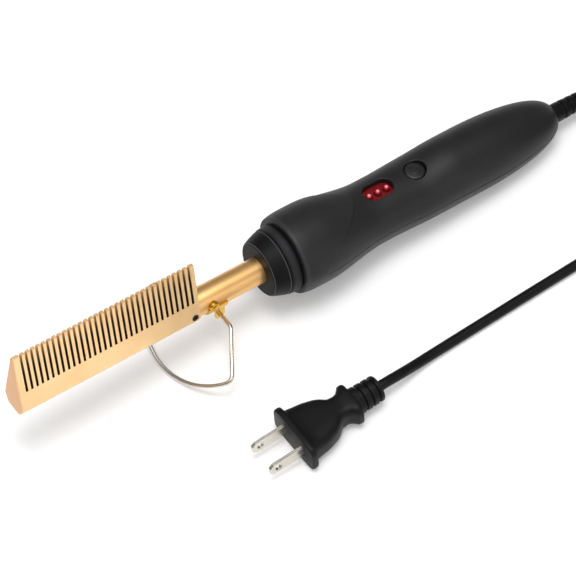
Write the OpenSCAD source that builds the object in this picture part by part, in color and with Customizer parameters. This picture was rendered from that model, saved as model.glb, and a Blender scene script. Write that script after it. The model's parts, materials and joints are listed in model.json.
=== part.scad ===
// Electric hot comb lying on its wire stand, with its cord and plug.
// The comb is drawn along +X with its axis at z = 0, teeth up, and is then
// tilted and lifted so that the stand and the handle's tail touch z = 0.

/* [Comb head] */
// Length of the comb head
head_len = 85.4; // [80:0.1:95]
// Height of the teeth tips over the axis
head_tip_z = 26.7; // [22:0.1:32]
// Width of the flat along the teeth tips
head_tip_w = 1.6; // [1:0.1:2.4]
// Width of the head at its widest level
head_w = 13.4; // [12.8:0.1:16]
// Depth of the widest level below the axis
head_wide_z = 1.3; // [0.8:0.1:2]
// Depth of the flat base below the axis
head_base_z = 6.15; // [6:0.05:8]
// Width of the flat base
head_base_w = 8.3; // [7:0.1:11]
// Number of sawn slots between the teeth
slot_count = 33; // [20:1:33]
// Distance from one slot to the next
slot_pitch = 2.46; // [2:0.01:2.46]
// Width of one slot
slot_w = 1; // [0.7:0.05:1.4]
// Depth of the slots below the tips
slot_depth = 18.7; // [10:0.1:19]
// Distance from the free end to the first slot
slot_first = 4.1; // [3:0.1:4.5]

/* [Heating] */
// Diameter of the cartridge heater
heater_d = 7.2; // [6:0.1:7.4]
// Length of the cartridge heater
heater_len = 62; // [50:1:64]
// Thickness of the mica sleeve round the heater
sleeve_wall = 0.4; // [0.3:0.05:0.5]
// Diameter of a heater lead with its sleeving
lead_d = 1.4; // [1:0.1:1.6]
// Diameter of the thermal fuse
fuse_d = 3.8; // [3:0.1:4.2]
// Length of the thermal fuse
fuse_len = 9; // [8:0.5:10]

/* [Neck tube] */
// Outer diameter of the neck tube
tube_d = 11.5; // [11:0.1:12]
// Wall of the neck tube
tube_wall = 0.9; // [0.7:0.05:1]
// Outer diameter of the tube's end inside the head
spigot_d = 9.4; // [9:0.1:10]
// Length of the tube's end inside the head
spigot_len = 12; // [8:0.5:13]
// Length of tube that shows between head and collar
tube_free_len = 32.7; // [30:0.1:36]
// Length of tube inside the handle
tube_rear_len = 28; // [26:0.5:30]
// Thread diameter of the grub screw
grub_d = 3; // [2.5:0.5:3]
// Distance of the grub screw from the head's rear end
grub_from_end = 2.5; // [2.5:0.1:6]

/* [Wire stand] */
// Diameter of the stand's wire
wire_d = 1.9; // [1.4:0.05:2.2]
// Distance of the pivot from the head's rear end
pivot_from_head = 11; // [9:0.1:14]
// Depth of the pivot below the axis
pivot_z = 9.4; // [9:0.1:10]
// Distance from the pivot to the foot's centre line
stand_reach = 32.8; // [30:0.1:36]
// Radius of the foot's arc
foot_r = 33.6; // [30:0.1:35]
// Slope of the legs out of the pivot's line, in degrees
leg_slope = 38.5; // [36:0.5:44]
// Radius of the bend between pin and leg
shoulder_r = 4; // [3:0.1:5]
// Radius of the bend between leg and foot
corner_r = 3.4; // [2.5:0.1:5]
// Distance from the middle to where pin and leg would cross
shoulder_y = 12.2; // [11:0.1:13]
// Running clearance of the pin in its ear, on the radius
pin_clearance = 0.05; // [0.03:0.01:0.08]
// Thickness of the bracket's sheet
bracket_t = 0.9; // [0.7:0.05:1.1]
// Length of the bracket along the tube
bracket_len = 9.1; // [9:0.1:12]
// Radius of an ear round the pivot
ear_r = 2.3; // [2:0.1:2.6]
// Distance of the strap's screw and rivet in front of the pivot
rivet_ahead = 4.4; // [4.4:0.1:5]
// Diameter of the screw's domed head on the near side
boss_head_d = 4.4; // [4:0.1:4.6]
// Diameter of the rivet's domed head on the far side
rivet_d = 3; // [2.4:0.1:3.2]

/* [Nose collar] */
// Length of the collar in front of the handle
collar_len = 12.5; // [10:0.1:16]
// Diameter of the collar's front face
collar_front_d = 24.6; // [22:0.1:26]
// Diameter of the collar's rear end
collar_rear_d = 30.2; // [29:0.1:31]
// Diameter of the groove that the handle grips
groove_d = 27.4; // [26:0.1:28]
// Width of the groove
groove_w = 3.4; // [3:0.1:4]
// Width of the flange behind the groove
flange_w = 2.6; // [2:0.1:3]
// Thickness of the ring behind the collar
ring_t = 1.2; // [1:0.1:1.6]

/* [Handle] */
// Length of the handle without collar and boot
handle_len = 139; // [135:0.5:145]
// Wall of the handle's shells
wall = 2; // [1.6:0.1:2.2]
// Radius of the front bulge
front_r = 17.7; // [17.2:0.1:18.5]
// Half width of the waist
waist_w = 14.4; // [14:0.1:15]
// Height of the waist over the axis
waist_top = 12.3; // [12:0.1:12.8]
// Depth of the waist below the axis
waist_bottom = 14.6; // [14:0.1:15.2]
// Radius of the tail bulge
tail_r = 15.15; // [14.8:0.05:16]
// Depth of the tail bulge below the axis
tail_low = 14.4; // [14:0.1:15.2]
// Length of the front cover along the top
cover_len = 34; // [32:0.5:36]
// Length by which the cover is shorter at the seam
cover_sweep = 24; // [20:0.5:26]
// Height of the cover over the shell
cover_step = 0.5; // [0.3:0.05:0.8]

/* [Button and lamps] */
// Distance of the button from the handle's front
button_x = 66.3; // [65:0.1:68]
// Diameter of the power button
button_d = 9; // [8:0.1:9.6]
// Clearance round the button
button_clearance = 0.3; // [0.25:0.05:0.4]
// Travel of the button
button_travel = 0.7; // [0.5:0.05:0.9]
// Distance of the lamp window from the handle's front
window_x = 47.3; // [46:0.1:48]
// Length of the lamp window
window_len = 14.1; // [13.6:0.1:14.4]
// Width of the lamp window
window_w = 8.7; // [8:0.1:9]
// Depth of the lens below the top of the window
lens_depth = 3.2; // [2.8:0.1:3.2]
// Distance from one lamp to the next
lamp_pitch = 4.4; // [3.6:0.1:4.4]
// Diameter of a lamp
lamp_d = 3; // [2.6:0.1:3.2]

/* [Inside] */
// Height of the circuit board's top over the axis
board_z = 2.4; // [2:0.1:2.8]
// Thickness of the circuit board
board_t = 1.6; // [1:0.1:2]
// Length of the circuit board
board_len = 49; // [47:0.5:52]
// Width of the circuit board
board_w = 18; // [16:0.5:20]
// Outer diameter of a screw boss
boss_d = 6; // [5.4:0.1:7]
// Thread diameter of the shell screws
screw_d = 2.8; // [2.4:0.1:3]
// Distance of the front shell screw from the handle's front
front_screw_x = 23; // [22:0.5:26]
// Distance of the rear shell screw from the handle's front
rear_screw_x = 95; // [92:0.5:98]
// Distance of the cord clamp from the handle's front
clamp_x = 112; // [108:0.5:114]

/* [Cord and plug] */
// Diameter of the cord
cord_d = 4.4; // [4:0.1:4.6]
// Length of the boot behind the handle
boot_len = 32; // [24:0.5:40]
// Diameter of the boot at the handle
boot_root_d = 8.6; // [8:0.1:9]
// Diameter of the boot at its end
boot_end_d = 6.6; // [6:0.1:7.4]
// Number of layers in the coil
coil_layers = 4; // [2:2:4]
// Turns in one layer of the coil
coil_turns = 2.375; // [2.375]
// Radius of the coil's outer turn
coil_r = 32; // [30:0.5:34]
// Distance from one turn to the next, and from layer to layer
coil_pitch = 4.9; // [4.9:0.05:5.2]
// Thickness of the tie round the coil
tie_t = 0.8; // [0.6:0.1:1]
// Width of the tie
tie_w = 6; // [4:0.5:10]
// Distance between the centres of the plug's blades
blade_gap = 12.7; // [12.7]
// Length of the blades
blade_len = 15.9; // [15.2:0.1:18.2]
// Height of a blade
blade_h = 6.35; // [6.35]
// Thickness of a blade
blade_t = 1.5; // [1.4:0.05:1.6]
// Width of the plug's flange
plug_w = 28; // [26:0.5:31]
// Height of the plug's flange
plug_h = 15; // [14:0.5:17]
// Length of the plug's body behind the flange
plug_len = 31; // [30:0.5:33]

/* [Hidden] */
$fn = 64;
TINY = 0.01;
// Clearance between pieces that are fixed to each other
SEAT = 0.05;

// Colours
brass = "#e8c58c";
gold = "#d9a650";
steel = "#b9bcc0";
black = "#2b2b2c";
dark = "#3a3a3b";
copper = "#b87333";
green = "#2f6b45";
ruby = "#b01020";
clear_red = "#8c1a22";

// Places along the axis, from the head's free end
tube_rear_x = head_len + tube_free_len + tube_rear_len;
collar_x = head_len + tube_free_len;
handle_x = collar_x + collar_len;
boot_x = handle_x + handle_len;
comb_end_x = boot_x + boot_len;
pivot_x = head_len + pivot_from_head;
heater_end_x = head_len - spigot_len - 1;
heater_r = heater_d / 2;
sleeve_r = heater_r + sleeve_wall;
tube_r = tube_d / 2;
tube_bore_r = spigot_d / 2 - tube_wall;
wire_r = wire_d / 2;
cord_r = cord_d / 2;

// The handle's outline: half width, height over the axis and depth below it
bulge_end = 13;
waist_w_at = 43;
waist_top_at = 45;
waist_w_end = 48;
waist_top_end = 63;
waist_low_end = 66;
tail_w_at = 68;
tail_top_at = 85;
tail_low_at = 90;
tail_at = 94;
nose_round = 7;
nose_drop = 0.8;
tail_power = 0.35;
tail_reach = handle_len - tail_at + 1.5;
function smooth(x, a, b) = let (s = min(1, max(0, (x - a) / (b - a)))) s * s * (3 - 2 * s);
function mix(a, b, s) = a + (b - a) * s;
function nose_cut(x) = nose_drop * pow(max(0, 1 - x / nose_round), 2);
function tail_share(x) =
    let (u = max(0, (x - tail_at) / tail_reach)) pow(max(0, 1 - u * u), tail_power);
function outline(x, waist, tail, a, b, c, d) =
    (mix(mix(front_r, waist, smooth(x, a, b)), tail, smooth(x, c, d)) - nose_cut(x))
    * tail_share(x);
function half_w(x) = outline(x, waist_w, tail_r, bulge_end, waist_w_at, waist_w_end, tail_w_at);
function top_z(x) =
    outline(x, waist_top, tail_r, bulge_end, waist_top_at, waist_top_end, tail_top_at);
function low_z(x) =
    outline(x, waist_bottom, tail_low, bulge_end, waist_w_at, waist_low_end, tail_low_at);

// The comb lies with its tail down: the stand's foot and the tail touch z = 0
pitch = 5.55;
tail_steps = [for (i = [0:60]) tail_at - 10 + i * 0.5];
axis_h = max([for (x = tail_steps) (handle_x + x) * sin(pitch) + low_z(x) * cos(pitch)]);
pivot_h = axis_h - pivot_x * sin(pitch) - pivot_z * cos(pitch);
// Angle of the stand from the vertical, and from the comb's own down
lean = acos((pivot_h - wire_r) / stand_reach);
comb_lean = lean - pitch;
function place_x(x, z) = x * cos(pitch) + z * sin(pitch);
function place_z(x, z) = axis_h - x * sin(pitch) + z * cos(pitch);
shift_x = -(place_x(0, -head_base_z) + place_x(comb_end_x, boot_end_d / 2)) / 2;
echo(axis_h = axis_h, lean = lean, comb_lean = comb_lean, shift_x = shift_x);
echo(pivot = [place_x(pivot_x, -pivot_z) + shift_x, place_z(pivot_x, -pivot_z)]);

// Moves a piece drawn along the comb's axis to its place on the surface
module on_stand() {
    translate([shift_x, 0, axis_h]) rotate([0, pitch, 0]) children();
}

// A cylinder along +X whose start is at x
module rod(x, len, r) {
    translate([x, 0, 0]) rotate([0, 90, 0]) cylinder(h = len, r = r);
}

// A profile of [x, radius] points turned round the comb's axis
module turned(points) {
    rotate([0, 90, 0]) rotate_extrude() polygon([for (p = points) [p[1], p[0]]]);
}

// A flat slot shape with round ends along X
module slot_shape(len, w) {
    square([len - w, w], center = true);
    for (s = [-1, 1]) translate([s * (len - w) / 2, 0]) circle(d = w);
}

// ---- A tube swept along points ----
function unit(v) = v / norm(v);
function along(p, i) =
    unit(p[min(i + 1, len(p) - 1)] - p[max(i - 1, 0)]);
function ring(centre, t, r, sides) =
    let (
        side = abs(t[2]) > 0.95 ? unit(cross(t, [0, 1, 0])) : unit(cross(t, [0, 0, 1])),
        up = cross(side, t)
    )
    [for (k = [0:sides - 1]) let (a = (k + 0.5) * 360 / sides)
        centre + r * (cos(a) * side + sin(a) * up)];
// Triangles of a closed skin through n rings with the same number of points
function ring_faces(n, sides) = concat(
    [for (i = [0:n - 2], k = [0:sides - 1])
        let (a = i * sides + k, b = i * sides + (k + 1) % sides)
        each [[a, b, b + sides], [a, b + sides, a + sides]]],
    [for (k = [1:sides - 2]) [0, k + 1, k]],
    [for (k = [1:sides - 2]) (n - 1) * sides * [1, 1, 1] + [0, k, k + 1]]);
module sweep(path, r, sides, first, last) {
    n = len(path);
    points = [for (i = [0:n - 1])
        let (t = i == 0 ? first : i == n - 1 ? last : along(path, i))
        each ring(path[i], unit(t), r, sides)];
    polyhedron(points = points, faces = ring_faces(n, sides));
}

// A smooth curve through route points, with a few steps in each span
function spline(p, i, s) =
    let (
        a = p[max(i - 1, 0)],
        b = p[i],
        c = p[i + 1],
        d = p[min(i + 2, len(p) - 1)]
    )
    0.5 * (2 * b + (c - a) * s + (2 * a - 5 * b + 4 * c - d) * s * s
        + (3 * b - 3 * c + d - a) * s * s * s);
function smooth_path(p, steps) =
    concat([for (i = [0:len(p) - 2], s = [0:steps - 1]) spline(p, i, s / steps)], [p[len(p) - 1]]);

// ---- Half of the handle's skin ----
// A row is [x at the middle, shorter by this at the seam, inner radius or 0 for the wall]
function row_x(row, c) = row[0] - row[1] * c * c;
function skin_point(row, a, grow, inside, lower) =
    let (
        x = row_x(row, cos(a)),
        d = inside ? -wall : grow,
        w = inside && row[2] > 0 ? row[2] : half_w(x) + d,
        h = inside && row[2] > 0 ? row[2] : (lower ? low_z(x) : top_z(x)) + d
    )
    [handle_x + x, w * cos(a), (lower ? -h : h) * sin(a)];
module half_skin(rows, grow, lower) {
    steps = 14;
    size = 2 * steps + 2;
    n = len(rows);
    points = [for (row = rows) each concat(
        [for (k = [0:steps]) skin_point(row, k * 180 / steps, grow, false, lower)],
        [for (k = [steps:-1:0]) skin_point(row, k * 180 / steps, grow, true, lower)])];
    walls = [for (i = [0:n - 2], k = [0:size - 1])
        let (a = i * size + k, b = i * size + (k + 1) % size)
        each [[a, b, b + size], [a, b + size, a + size]]];
    start = [for (k = [0:steps - 1])
        let (c = size - 1 - k) each [[k, c, c - 1], [k, c - 1, k + 1]]];
    end = [for (k = [0:steps - 1])
        let (o = (n - 1) * size, c = o + size - 1 - k)
        each [[o + k, o + k + 1, c - 1], [o + k, c - 1, c]]];
    faces = concat(walls, start, end);
    polyhedron(points = points, faces = lower ? faces : [for (f = faces) [f[0], f[2], f[1]]]);
}

groove_r = groove_d / 2;
lip_r = groove_r + 0.15;
lip_end = groove_w - 0.3;
function cover_row(s) = [mix(4, cover_len, s), cover_sweep * s, 0];
cover_rows = concat(
    [[0, 0, lip_r], [1.4, 0, lip_r], [lip_end, 0, lip_r], [lip_end + 0.1, 0, 0], [3.6, 0, 0]],
    [for (s = [0:6]) cover_row(s / 6)]);
tail_lip_at = handle_len - 4.4;
tail_lip_r = boot_root_d / 2 + 0.1;
tail_rows = concat(
    [for (x = [tail_at + 6:5:tail_lip_at - 3]) [x, 0, 0]],
    [[tail_lip_at - 0.1, 0, 0], [tail_lip_at, 0, tail_lip_r],
        [handle_len - 2, 0, tail_lip_r], [handle_len, 0, tail_lip_r]]);
even_rows = [for (x = [cover_len + 4:5:tail_at + 4]) [x, 0, 0]];
upper_rows = concat(
    [for (s = [0:5]) [mix(cover_len + SEAT, cover_len + 3, s / 5), cover_sweep * (1 - s / 5), 0]],
    even_rows, tail_rows);
lower_rows = concat(
    [[0, 0, lip_r], [1.4, 0, lip_r], [lip_end, 0, lip_r], [lip_end + 0.1, 0, 0], [6.5, 0, 0]],
    [for (x = [10:5:cover_len]) [x, 0, 0]],
    even_rows, tail_rows);

// ---- Head and heater ----
module comb_head() color(brass) on_stand() {
    bore_r = sleeve_r + SEAT;
    difference() {
        rotate([90, 0, 90]) linear_extrude(head_len) polygon([
            [head_tip_w / 2, head_tip_z],
            [-head_tip_w / 2, head_tip_z],
            [-head_w / 2, -head_wide_z],
            [-head_base_w / 2, -head_base_z],
            [head_base_w / 2, -head_base_z],
            [head_w / 2, -head_wide_z],
        ]);
        for (i = [0:slot_count - 1])
            translate([slot_first + i * slot_pitch - slot_w / 2, -head_w, head_tip_z - slot_depth])
                cube([slot_w, 2 * head_w, slot_depth + 1]);
        rod(heater_end_x - heater_len, heater_len + spigot_len + 2, bore_r);
        rod(head_len - spigot_len, spigot_len + 1, spigot_d / 2 + SEAT);
        translate([head_len - grub_from_end, 0, 0]) rotate([90, 0, 0])
            cylinder(h = head_w, r = grub_d / 2 + SEAT);
    }
}

grub_len = head_w / 2 - spigot_d / 2 - 0.35;
module head_grub_screw() color(dark) on_stand() {
    translate([head_len - grub_from_end, -spigot_d / 2 - SEAT, 0]) rotate([90, 0, 0])
        difference() {
            cylinder(h = grub_len, r = grub_d / 2);
            translate([0, 0, grub_len / 2]) cylinder(h = grub_len, r = grub_d / 4, $fn = 6);
        }
}

module cartridge_heater() color(steel) on_stand() {
    rod(heater_end_x - heater_len + SEAT, heater_len - SEAT, heater_r);
}

module heater_sleeve() color("#d8cfb8") on_stand() {
    difference() {
        rod(heater_end_x - heater_len + SEAT, heater_len - SEAT, sleeve_r);
        rod(heater_end_x - heater_len, heater_len + 1, heater_r + SEAT / 2);
    }
}

// Leads leave the heater side by side, run through the tube and spread to the board
lead_r = lead_d / 2;
lead_y = 1.6;
fuse_x = handle_x + 20;
fuse_y = 7.2;
board_at = 33;
board_x = handle_x + board_at;
terminal_y = 6.4;
terminal_h = 2.4;
terminal_len = 3;
lead_end = [board_x + 1.5, terminal_y, board_z + terminal_h / 2];
fuse_path = [
    [heater_end_x, lead_y, 0],
    [tube_rear_x - 20, lead_y, 0],
    [tube_rear_x, lead_y, 0],
    [tube_rear_x + 3, 2.8, 0],
    [fuse_x - 2.5, fuse_y, 0],
    [fuse_x, fuse_y, 0],
];
board_path = [
    [fuse_x + fuse_len, fuse_y, 0],
    [fuse_x + fuse_len + 2, fuse_y, 0.8],
    [lead_end[0] - 1.5, lead_end[1], lead_end[2]],
    lead_end,
];
return_path = [
    [heater_end_x, -lead_y, 0],
    [tube_rear_x - 20, -lead_y, 0],
    [tube_rear_x, -lead_y, 0],
    [tube_rear_x + 3, -2.8, 0],
    [fuse_x - 2.5, -fuse_y, 0],
    [fuse_x + fuse_len, -fuse_y, 0.8],
    [lead_end[0] - 1.5, -lead_end[1], lead_end[2]],
    [lead_end[0], -lead_end[1], lead_end[2]],
];
module heater_leads() color("#e6e2d8") on_stand() {
    for (path = [fuse_path, board_path, return_path])
        sweep(smooth_path(path, 3), lead_r, 8, [1, 0, 0], [1, 0, 0]);
}

module thermal_fuse() color(steel) on_stand() {
    translate([0, fuse_y, 0]) rod(fuse_x, fuse_len, fuse_d / 2);
}

// ---- Neck tube, bracket and stand ----
module neck_tube() color(gold) on_stand() {
    difference() {
        union() {
            rod(head_len - spigot_len + SEAT, spigot_len, spigot_d / 2);
            rod(head_len, tube_rear_x - head_len, tube_r);
        }
        rod(head_len - spigot_len - 1, tube_rear_x, tube_bore_r);
        for (near = [false, true])
            rivet_place(near) cylinder(h = 2 * tube_r, r = rivet_shank_r + SEAT / 2);
    }
}

module tube_ring() color(steel) on_stand() {
    difference() {
        rod(handle_x + groove_w + flange_w + SEAT, ring_t, tube_r + 2);
        rod(handle_x, handle_len, tube_r + SEAT / 2);
    }
}

bracket_r = tube_r + SEAT / 2 + bracket_t;
bracket_x = pivot_x - rivet_ahead - boss_head_d / 2 - 0.2;
strap_top_z = 0.3;
strap_lug_r = boss_head_d / 2 + 0.1;
ear_out = 4.4;
ear_in = ear_out - bracket_t;
rivet_shank_r = 0.8;
rivet_dome_h = 0.9;
// Angles of the two heads above and below the tube's middle: near side, far side
boss_rise = 10;
rivet_drop = 12;
module rivet_place(near) {
    translate([pivot_x - rivet_ahead, 0, 0])
        rotate([near ? 90 - boss_rise : -90 - rivet_drop, 0, 0]) children();
}

// A strap under the tube with two ears below it, and a round lug on the near side
module stand_bracket() color(gold) on_stand() {
    difference() {
        union() {
            difference() {
                rod(bracket_x, bracket_len, bracket_r);
                translate([bracket_x - 1, -tube_d, strap_top_z])
                    cube([bracket_len + 2, 2 * tube_d, tube_d]);
            }
            intersection() {
                rod(bracket_x, bracket_len, bracket_r);
                rivet_place(true) cylinder(h = tube_d, r = strap_lug_r);
            }
            for (s = [-1, 1]) translate([pivot_x, s * (ear_out - bracket_t / 2), -pivot_z]) {
                translate([0, bracket_t / 2, 0]) rotate([90, 0, 0]) cylinder(h = bracket_t, r = ear_r);
                translate([-ear_r, -bracket_t / 2, 0]) cube([2 * ear_r, bracket_t, pivot_z - ear_out]);
            }
        }
        rod(bracket_x - 1, bracket_len + 2, tube_r + SEAT / 2);
        translate([pivot_x, 0, -pivot_z]) rotate([90, 0, 0])
            cylinder(h = 3 * tube_d, r = wire_r + pin_clearance, center = true);
        for (near = [false, true])
            rivet_place(near) cylinder(h = 2 * tube_d, r = rivet_shank_r + SEAT / 2);
    }
}

// A domed head whose underside follows the strap, on a shank through strap and tube
module bracket_rivets() color(gold) on_stand() for (near = [false, true]) {
    head_r = (near ? boss_head_d : rivet_d) / 2;
    difference() {
        rivet_place(near) translate([0, 0, bracket_r]) rotate_extrude() polygon(concat(
            [[0, -1], [head_r, -1]],
            [for (a = [0:15:90]) [head_r * cos(a), rivet_dome_h * sin(a)]]));
        rod(bracket_x - 2, bracket_len + 4, bracket_r + SEAT / 2);
    }
    rivet_place(near) translate([0, 0, tube_bore_r + 0.3])
        cylinder(h = bracket_r - tube_bore_r, r = rivet_shank_r);
}

// The wire in its own plane: y across the comb, r away from the pivot
leg_dir = [cos(leg_slope), sin(leg_slope)];
leg_side = [-sin(leg_slope), cos(leg_slope)];
foot_c = stand_reach - foot_r;
shoulder_cut = shoulder_r * tan(leg_slope / 2);
corner_q = [shoulder_y, 0] + corner_r * leg_side - [0, foot_c];
corner_b = corner_q * leg_dir;
corner_s = -corner_b + sqrt(corner_b * corner_b - corner_q * corner_q + pow(foot_r - corner_r, 2));
corner_at = [shoulder_y, 0] + corner_s * leg_dir;
corner_c = corner_at + corner_r * leg_side;
foot_a = atan2(corner_c[1] - foot_c, corner_c[0]);
pin_start = ear_in - 0.5;

function arc(centre, r, from, to, steps) =
    [for (i = [0:steps]) let (a = from + (to - from) * i / steps)
        [centre[0] + r * cos(a), centre[1] + r * sin(a), 0]];
function flipped(path) = [for (i = [len(path) - 1:-1:0]) [-path[i][0], path[i][1], 0]];
half_wire = concat(
    [[ear_out + 0.5, 0, 0]],
    arc([shoulder_y - shoulder_cut, shoulder_r], shoulder_r, -90, leg_slope - 90, 4),
    arc(corner_c, corner_r, leg_slope - 90, foot_a, 5),
    arc([0, foot_c], foot_r, foot_a + 2, 88, 10));
wire_path = concat(half_wire, flipped(half_wire));
module stand_wire() color(steel) on_stand() {
    translate([pivot_x, 0, -pivot_z]) rotate([0, comb_lean, 0]) rotate([-90, 0, 90]) {
        sweep(wire_path, wire_r - TINY, 12, [1, 0, 0], [1, 0, 0]);
        for (a = [-90, 90]) rotate([0, a, 0]) translate([0, 0, pin_start])
            cylinder(h = shoulder_y - shoulder_cut - pin_start, r = wire_r);
    }
}

// ---- Collar and handle ----
module nose_collar() color(black) on_stand() {
    front = collar_front_d / 2;
    rear = collar_rear_d / 2;
    shoulder_x = collar_x + 0.75 * collar_len;
    flange_r = front_r - wall - 0.4;
    turned([
        [collar_x, tube_r + SEAT],
        [collar_x, front - 0.8],
        [collar_x + 0.8, front],
        [shoulder_x, rear - 0.3],
        [handle_x - 1.5, rear],
        [handle_x - 0.4, rear],
        [handle_x - 0.4, groove_r],
        [handle_x + groove_w, groove_r],
        [handle_x + groove_w, flange_r],
        [handle_x + groove_w + flange_w, flange_r],
        [handle_x + groove_w + flange_w, tube_r + SEAT],
    ]);
}

// A boss from the seam plane up into the skin, and its pilot hole
module upper_boss(x, top) {
    translate([handle_x + x, 0, 0]) cylinder(h = top, r = boss_d / 2);
}
module upper_pilot(x) {
    translate([handle_x + x, 0, -1]) cylinder(h = screw_grip + 1.5, r = screw_d / 2 + SEAT);
}
screw_grip = 6;
screw_head_r = screw_d;
screw_seat = 8;
lower_boss_r = screw_head_r + 1.6;

module front_cover() color(dark) on_stand() {
    difference() {
        union() {
            half_skin(cover_rows, cover_step, false);
            upper_boss(front_screw_x, top_z(front_screw_x) - wall / 2);
        }
        upper_pilot(front_screw_x);
    }
}

window_top = top_z(window_x);
lens_top = window_top - lens_depth;
lens_t = 2.2;
lens_flange_t = 0.6;
// A wall round the lamp window, from inside the upper skin down to the lens's flange
well_wall = 1;
well_low = lens_top - lens_t + lens_flange_t + SEAT;
well_high = window_top - 0.6 * wall;
module upper_shell() color(dark) on_stand() {
    difference() {
        union() {
            half_skin(upper_rows, 0, false);
            upper_boss(rear_screw_x, top_z(rear_screw_x) - wall / 2);
            translate([handle_x + window_x, 0, well_low]) linear_extrude(well_high - well_low)
                slot_shape(window_len + 2 * well_wall, window_w + 2 * well_wall);
        }
        upper_pilot(rear_screw_x);
        translate([handle_x + window_x, 0, well_low - 1]) linear_extrude(2 * waist_top)
            slot_shape(window_len, window_w);
        translate([handle_x + button_x, 0, 0])
            cylinder(h = 2 * waist_top, r = button_d / 2 + button_clearance);
    }
}

board_screw_x = [board_at + 7, board_at + board_len - 8];
board_screw_y = [-4.6, 4.6];
post_r = 2.2;
board_hole_r = 1.1;
clamp_post_y = 6.6;
clamp_w = 6;
clamp_t = 2.4;
// Depth at which a post at x, y still lies inside the lower skin
function floor_z(x, y, r) = low_z(x) * sqrt(1 - pow((abs(y) + r) / half_w(x), 2)) - 0.3;
module floor_post(x, y, top, r) {
    depth = floor_z(x, y, r);
    translate([handle_x + x, y, -depth]) cylinder(h = depth + top, r = r);
}
module lower_shell() color(black) on_stand() {
    saddle_z = cord_r + SEAT;
    difference() {
        union() {
            half_skin(lower_rows, 0, true);
            for (x = [front_screw_x, rear_screw_x]) floor_post(x, 0, 0, lower_boss_r);
            for (i = [0, 1])
                floor_post(board_screw_x[i], board_screw_y[i], board_z - board_t, post_r);
            for (s = [-1, 1]) floor_post(clamp_x, s * clamp_post_y, cord_r, post_r);
            floor_post(clamp_x, 0, -saddle_z, clamp_w / 2);
        }
        for (x = [front_screw_x, rear_screw_x]) translate([handle_x + x, 0, -2 * front_r]) {
            cylinder(h = 2 * front_r + 1, r = screw_d / 2 + SEAT);
            cylinder(h = 2 * front_r - screw_seat, r = screw_head_r + 0.2);
        }
        for (i = [0, 1])
            translate([handle_x + board_screw_x[i], board_screw_y[i], board_z - board_t - 6])
                cylinder(h = 7, r = board_hole_r);
        for (s = [-1, 1]) translate([handle_x + clamp_x, s * clamp_post_y, cord_r - 6])
            cylinder(h = 7, r = board_hole_r);
    }
}

// A pan head screw with a cross slot, pointing up, its head's seat at z = 0
driver_slot_w = 0.7;
module pan_screw(shank_d, shank_len, head_r, head_h) {
    difference() {
        union() {
            cylinder(h = shank_len, d = shank_d);
            translate([0, 0, -head_h]) cylinder(h = head_h, r = head_r);
        }
        for (a = [0, 90]) rotate([0, 0, a]) translate([-head_r * 0.6, -driver_slot_w / 2, -head_h - 1])
            cube([head_r * 1.2, driver_slot_w, 1 + head_h / 2]);
    }
}
module shell_screws() color(steel) on_stand() {
    for (x = [front_screw_x, rear_screw_x]) translate([handle_x + x, 0, -screw_seat])
        pan_screw(screw_d, screw_seat + screw_grip, screw_head_r, 2);
}

// ---- Lamps, button and board ----
// The lamps stand up through three holes in the lens
module window_lens() color(clear_red) on_stand() {
    translate([handle_x + window_x, 0, lens_top - lens_t]) {
        difference() {
            union() {
                linear_extrude(lens_t)
                    slot_shape(window_len - 2 * SEAT, window_w - 2 * SEAT);
                linear_extrude(lens_flange_t)
                    slot_shape(window_len + 1.6 * well_wall, window_w + 1.6 * well_wall);
            }
            for (i = [-1:1]) translate([i * lamp_pitch, 0, -1])
                cylinder(h = lens_t + 2, r = lamp_rim_r);
        }
    }
}
lamp_recess = 1.2;
lamp_rim_r = lamp_d / 2 + 0.2;
lamp_h = window_top - lamp_recess - board_z;
module indicator_lamps() color(ruby) on_stand() {
    for (i = [-1:1]) translate([handle_x + window_x + i * lamp_pitch, 0, board_z]) {
        cylinder(h = 1, r = lamp_rim_r);
        cylinder(h = lamp_h - lamp_d / 2, d = lamp_d);
        translate([0, 0, lamp_h - lamp_d / 2]) sphere(d = lamp_d);
    }
}

button_top = top_z(button_x) - 0.3;
button_dome = 0.5;
button_flange_top = 9;
button_flange_t = 0.9;
button_r = button_d / 2;
switch_h = 3.5;
switch_w = 6;
plunger_h = 0.6;
stem_z = board_z + switch_h + plunger_h + button_travel + 0.2;
module power_button() color(black) on_stand() {
    dome_r = (button_r * button_r + button_dome * button_dome) / (2 * button_dome);
    translate([handle_x + button_x, 0, 0]) {
        rotate_extrude() polygon(concat(
            [[0, stem_z], [2, stem_z], [2, button_flange_top - button_flange_t],
                [button_r + 0.9, button_flange_top - button_flange_t],
                [button_r + 0.9, button_flange_top], [button_r, button_flange_top]],
            [for (i = [0:6]) let (r = button_r * (1 - i / 6))
                [r, button_top - dome_r + sqrt(dome_r * dome_r - r * r)]]));
    }
}
module button_switch() color(steel) on_stand() {
    translate([handle_x + button_x, 0, board_z]) {
        translate([-switch_w / 2, -switch_w / 2, 0]) cube([switch_w, switch_w, switch_h]);
        cylinder(h = switch_h + plunger_h, d = lamp_d);
    }
}
module circuit_board() color(green) on_stand() {
    difference() {
        translate([board_x, -board_w / 2, board_z - board_t]) cube([board_len, board_w, board_t]);
        for (i = [0, 1]) translate([handle_x + board_screw_x[i], board_screw_y[i], 0])
            cylinder(h = 3 * board_z, r = board_hole_r + 0.1);
    }
}
small_screw_d = 2 * board_hole_r - 2 * SEAT;
small_screw_grip = 5;
small_head_r = 2;
small_head_h = 1.4;
module board_screws() color(steel) on_stand() {
    for (i = [0, 1]) translate([handle_x + board_screw_x[i], board_screw_y[i], board_z])
        mirror([0, 0, 1])
            pan_screw(small_screw_d, board_t + small_screw_grip, small_head_r, small_head_h);
}

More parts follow.
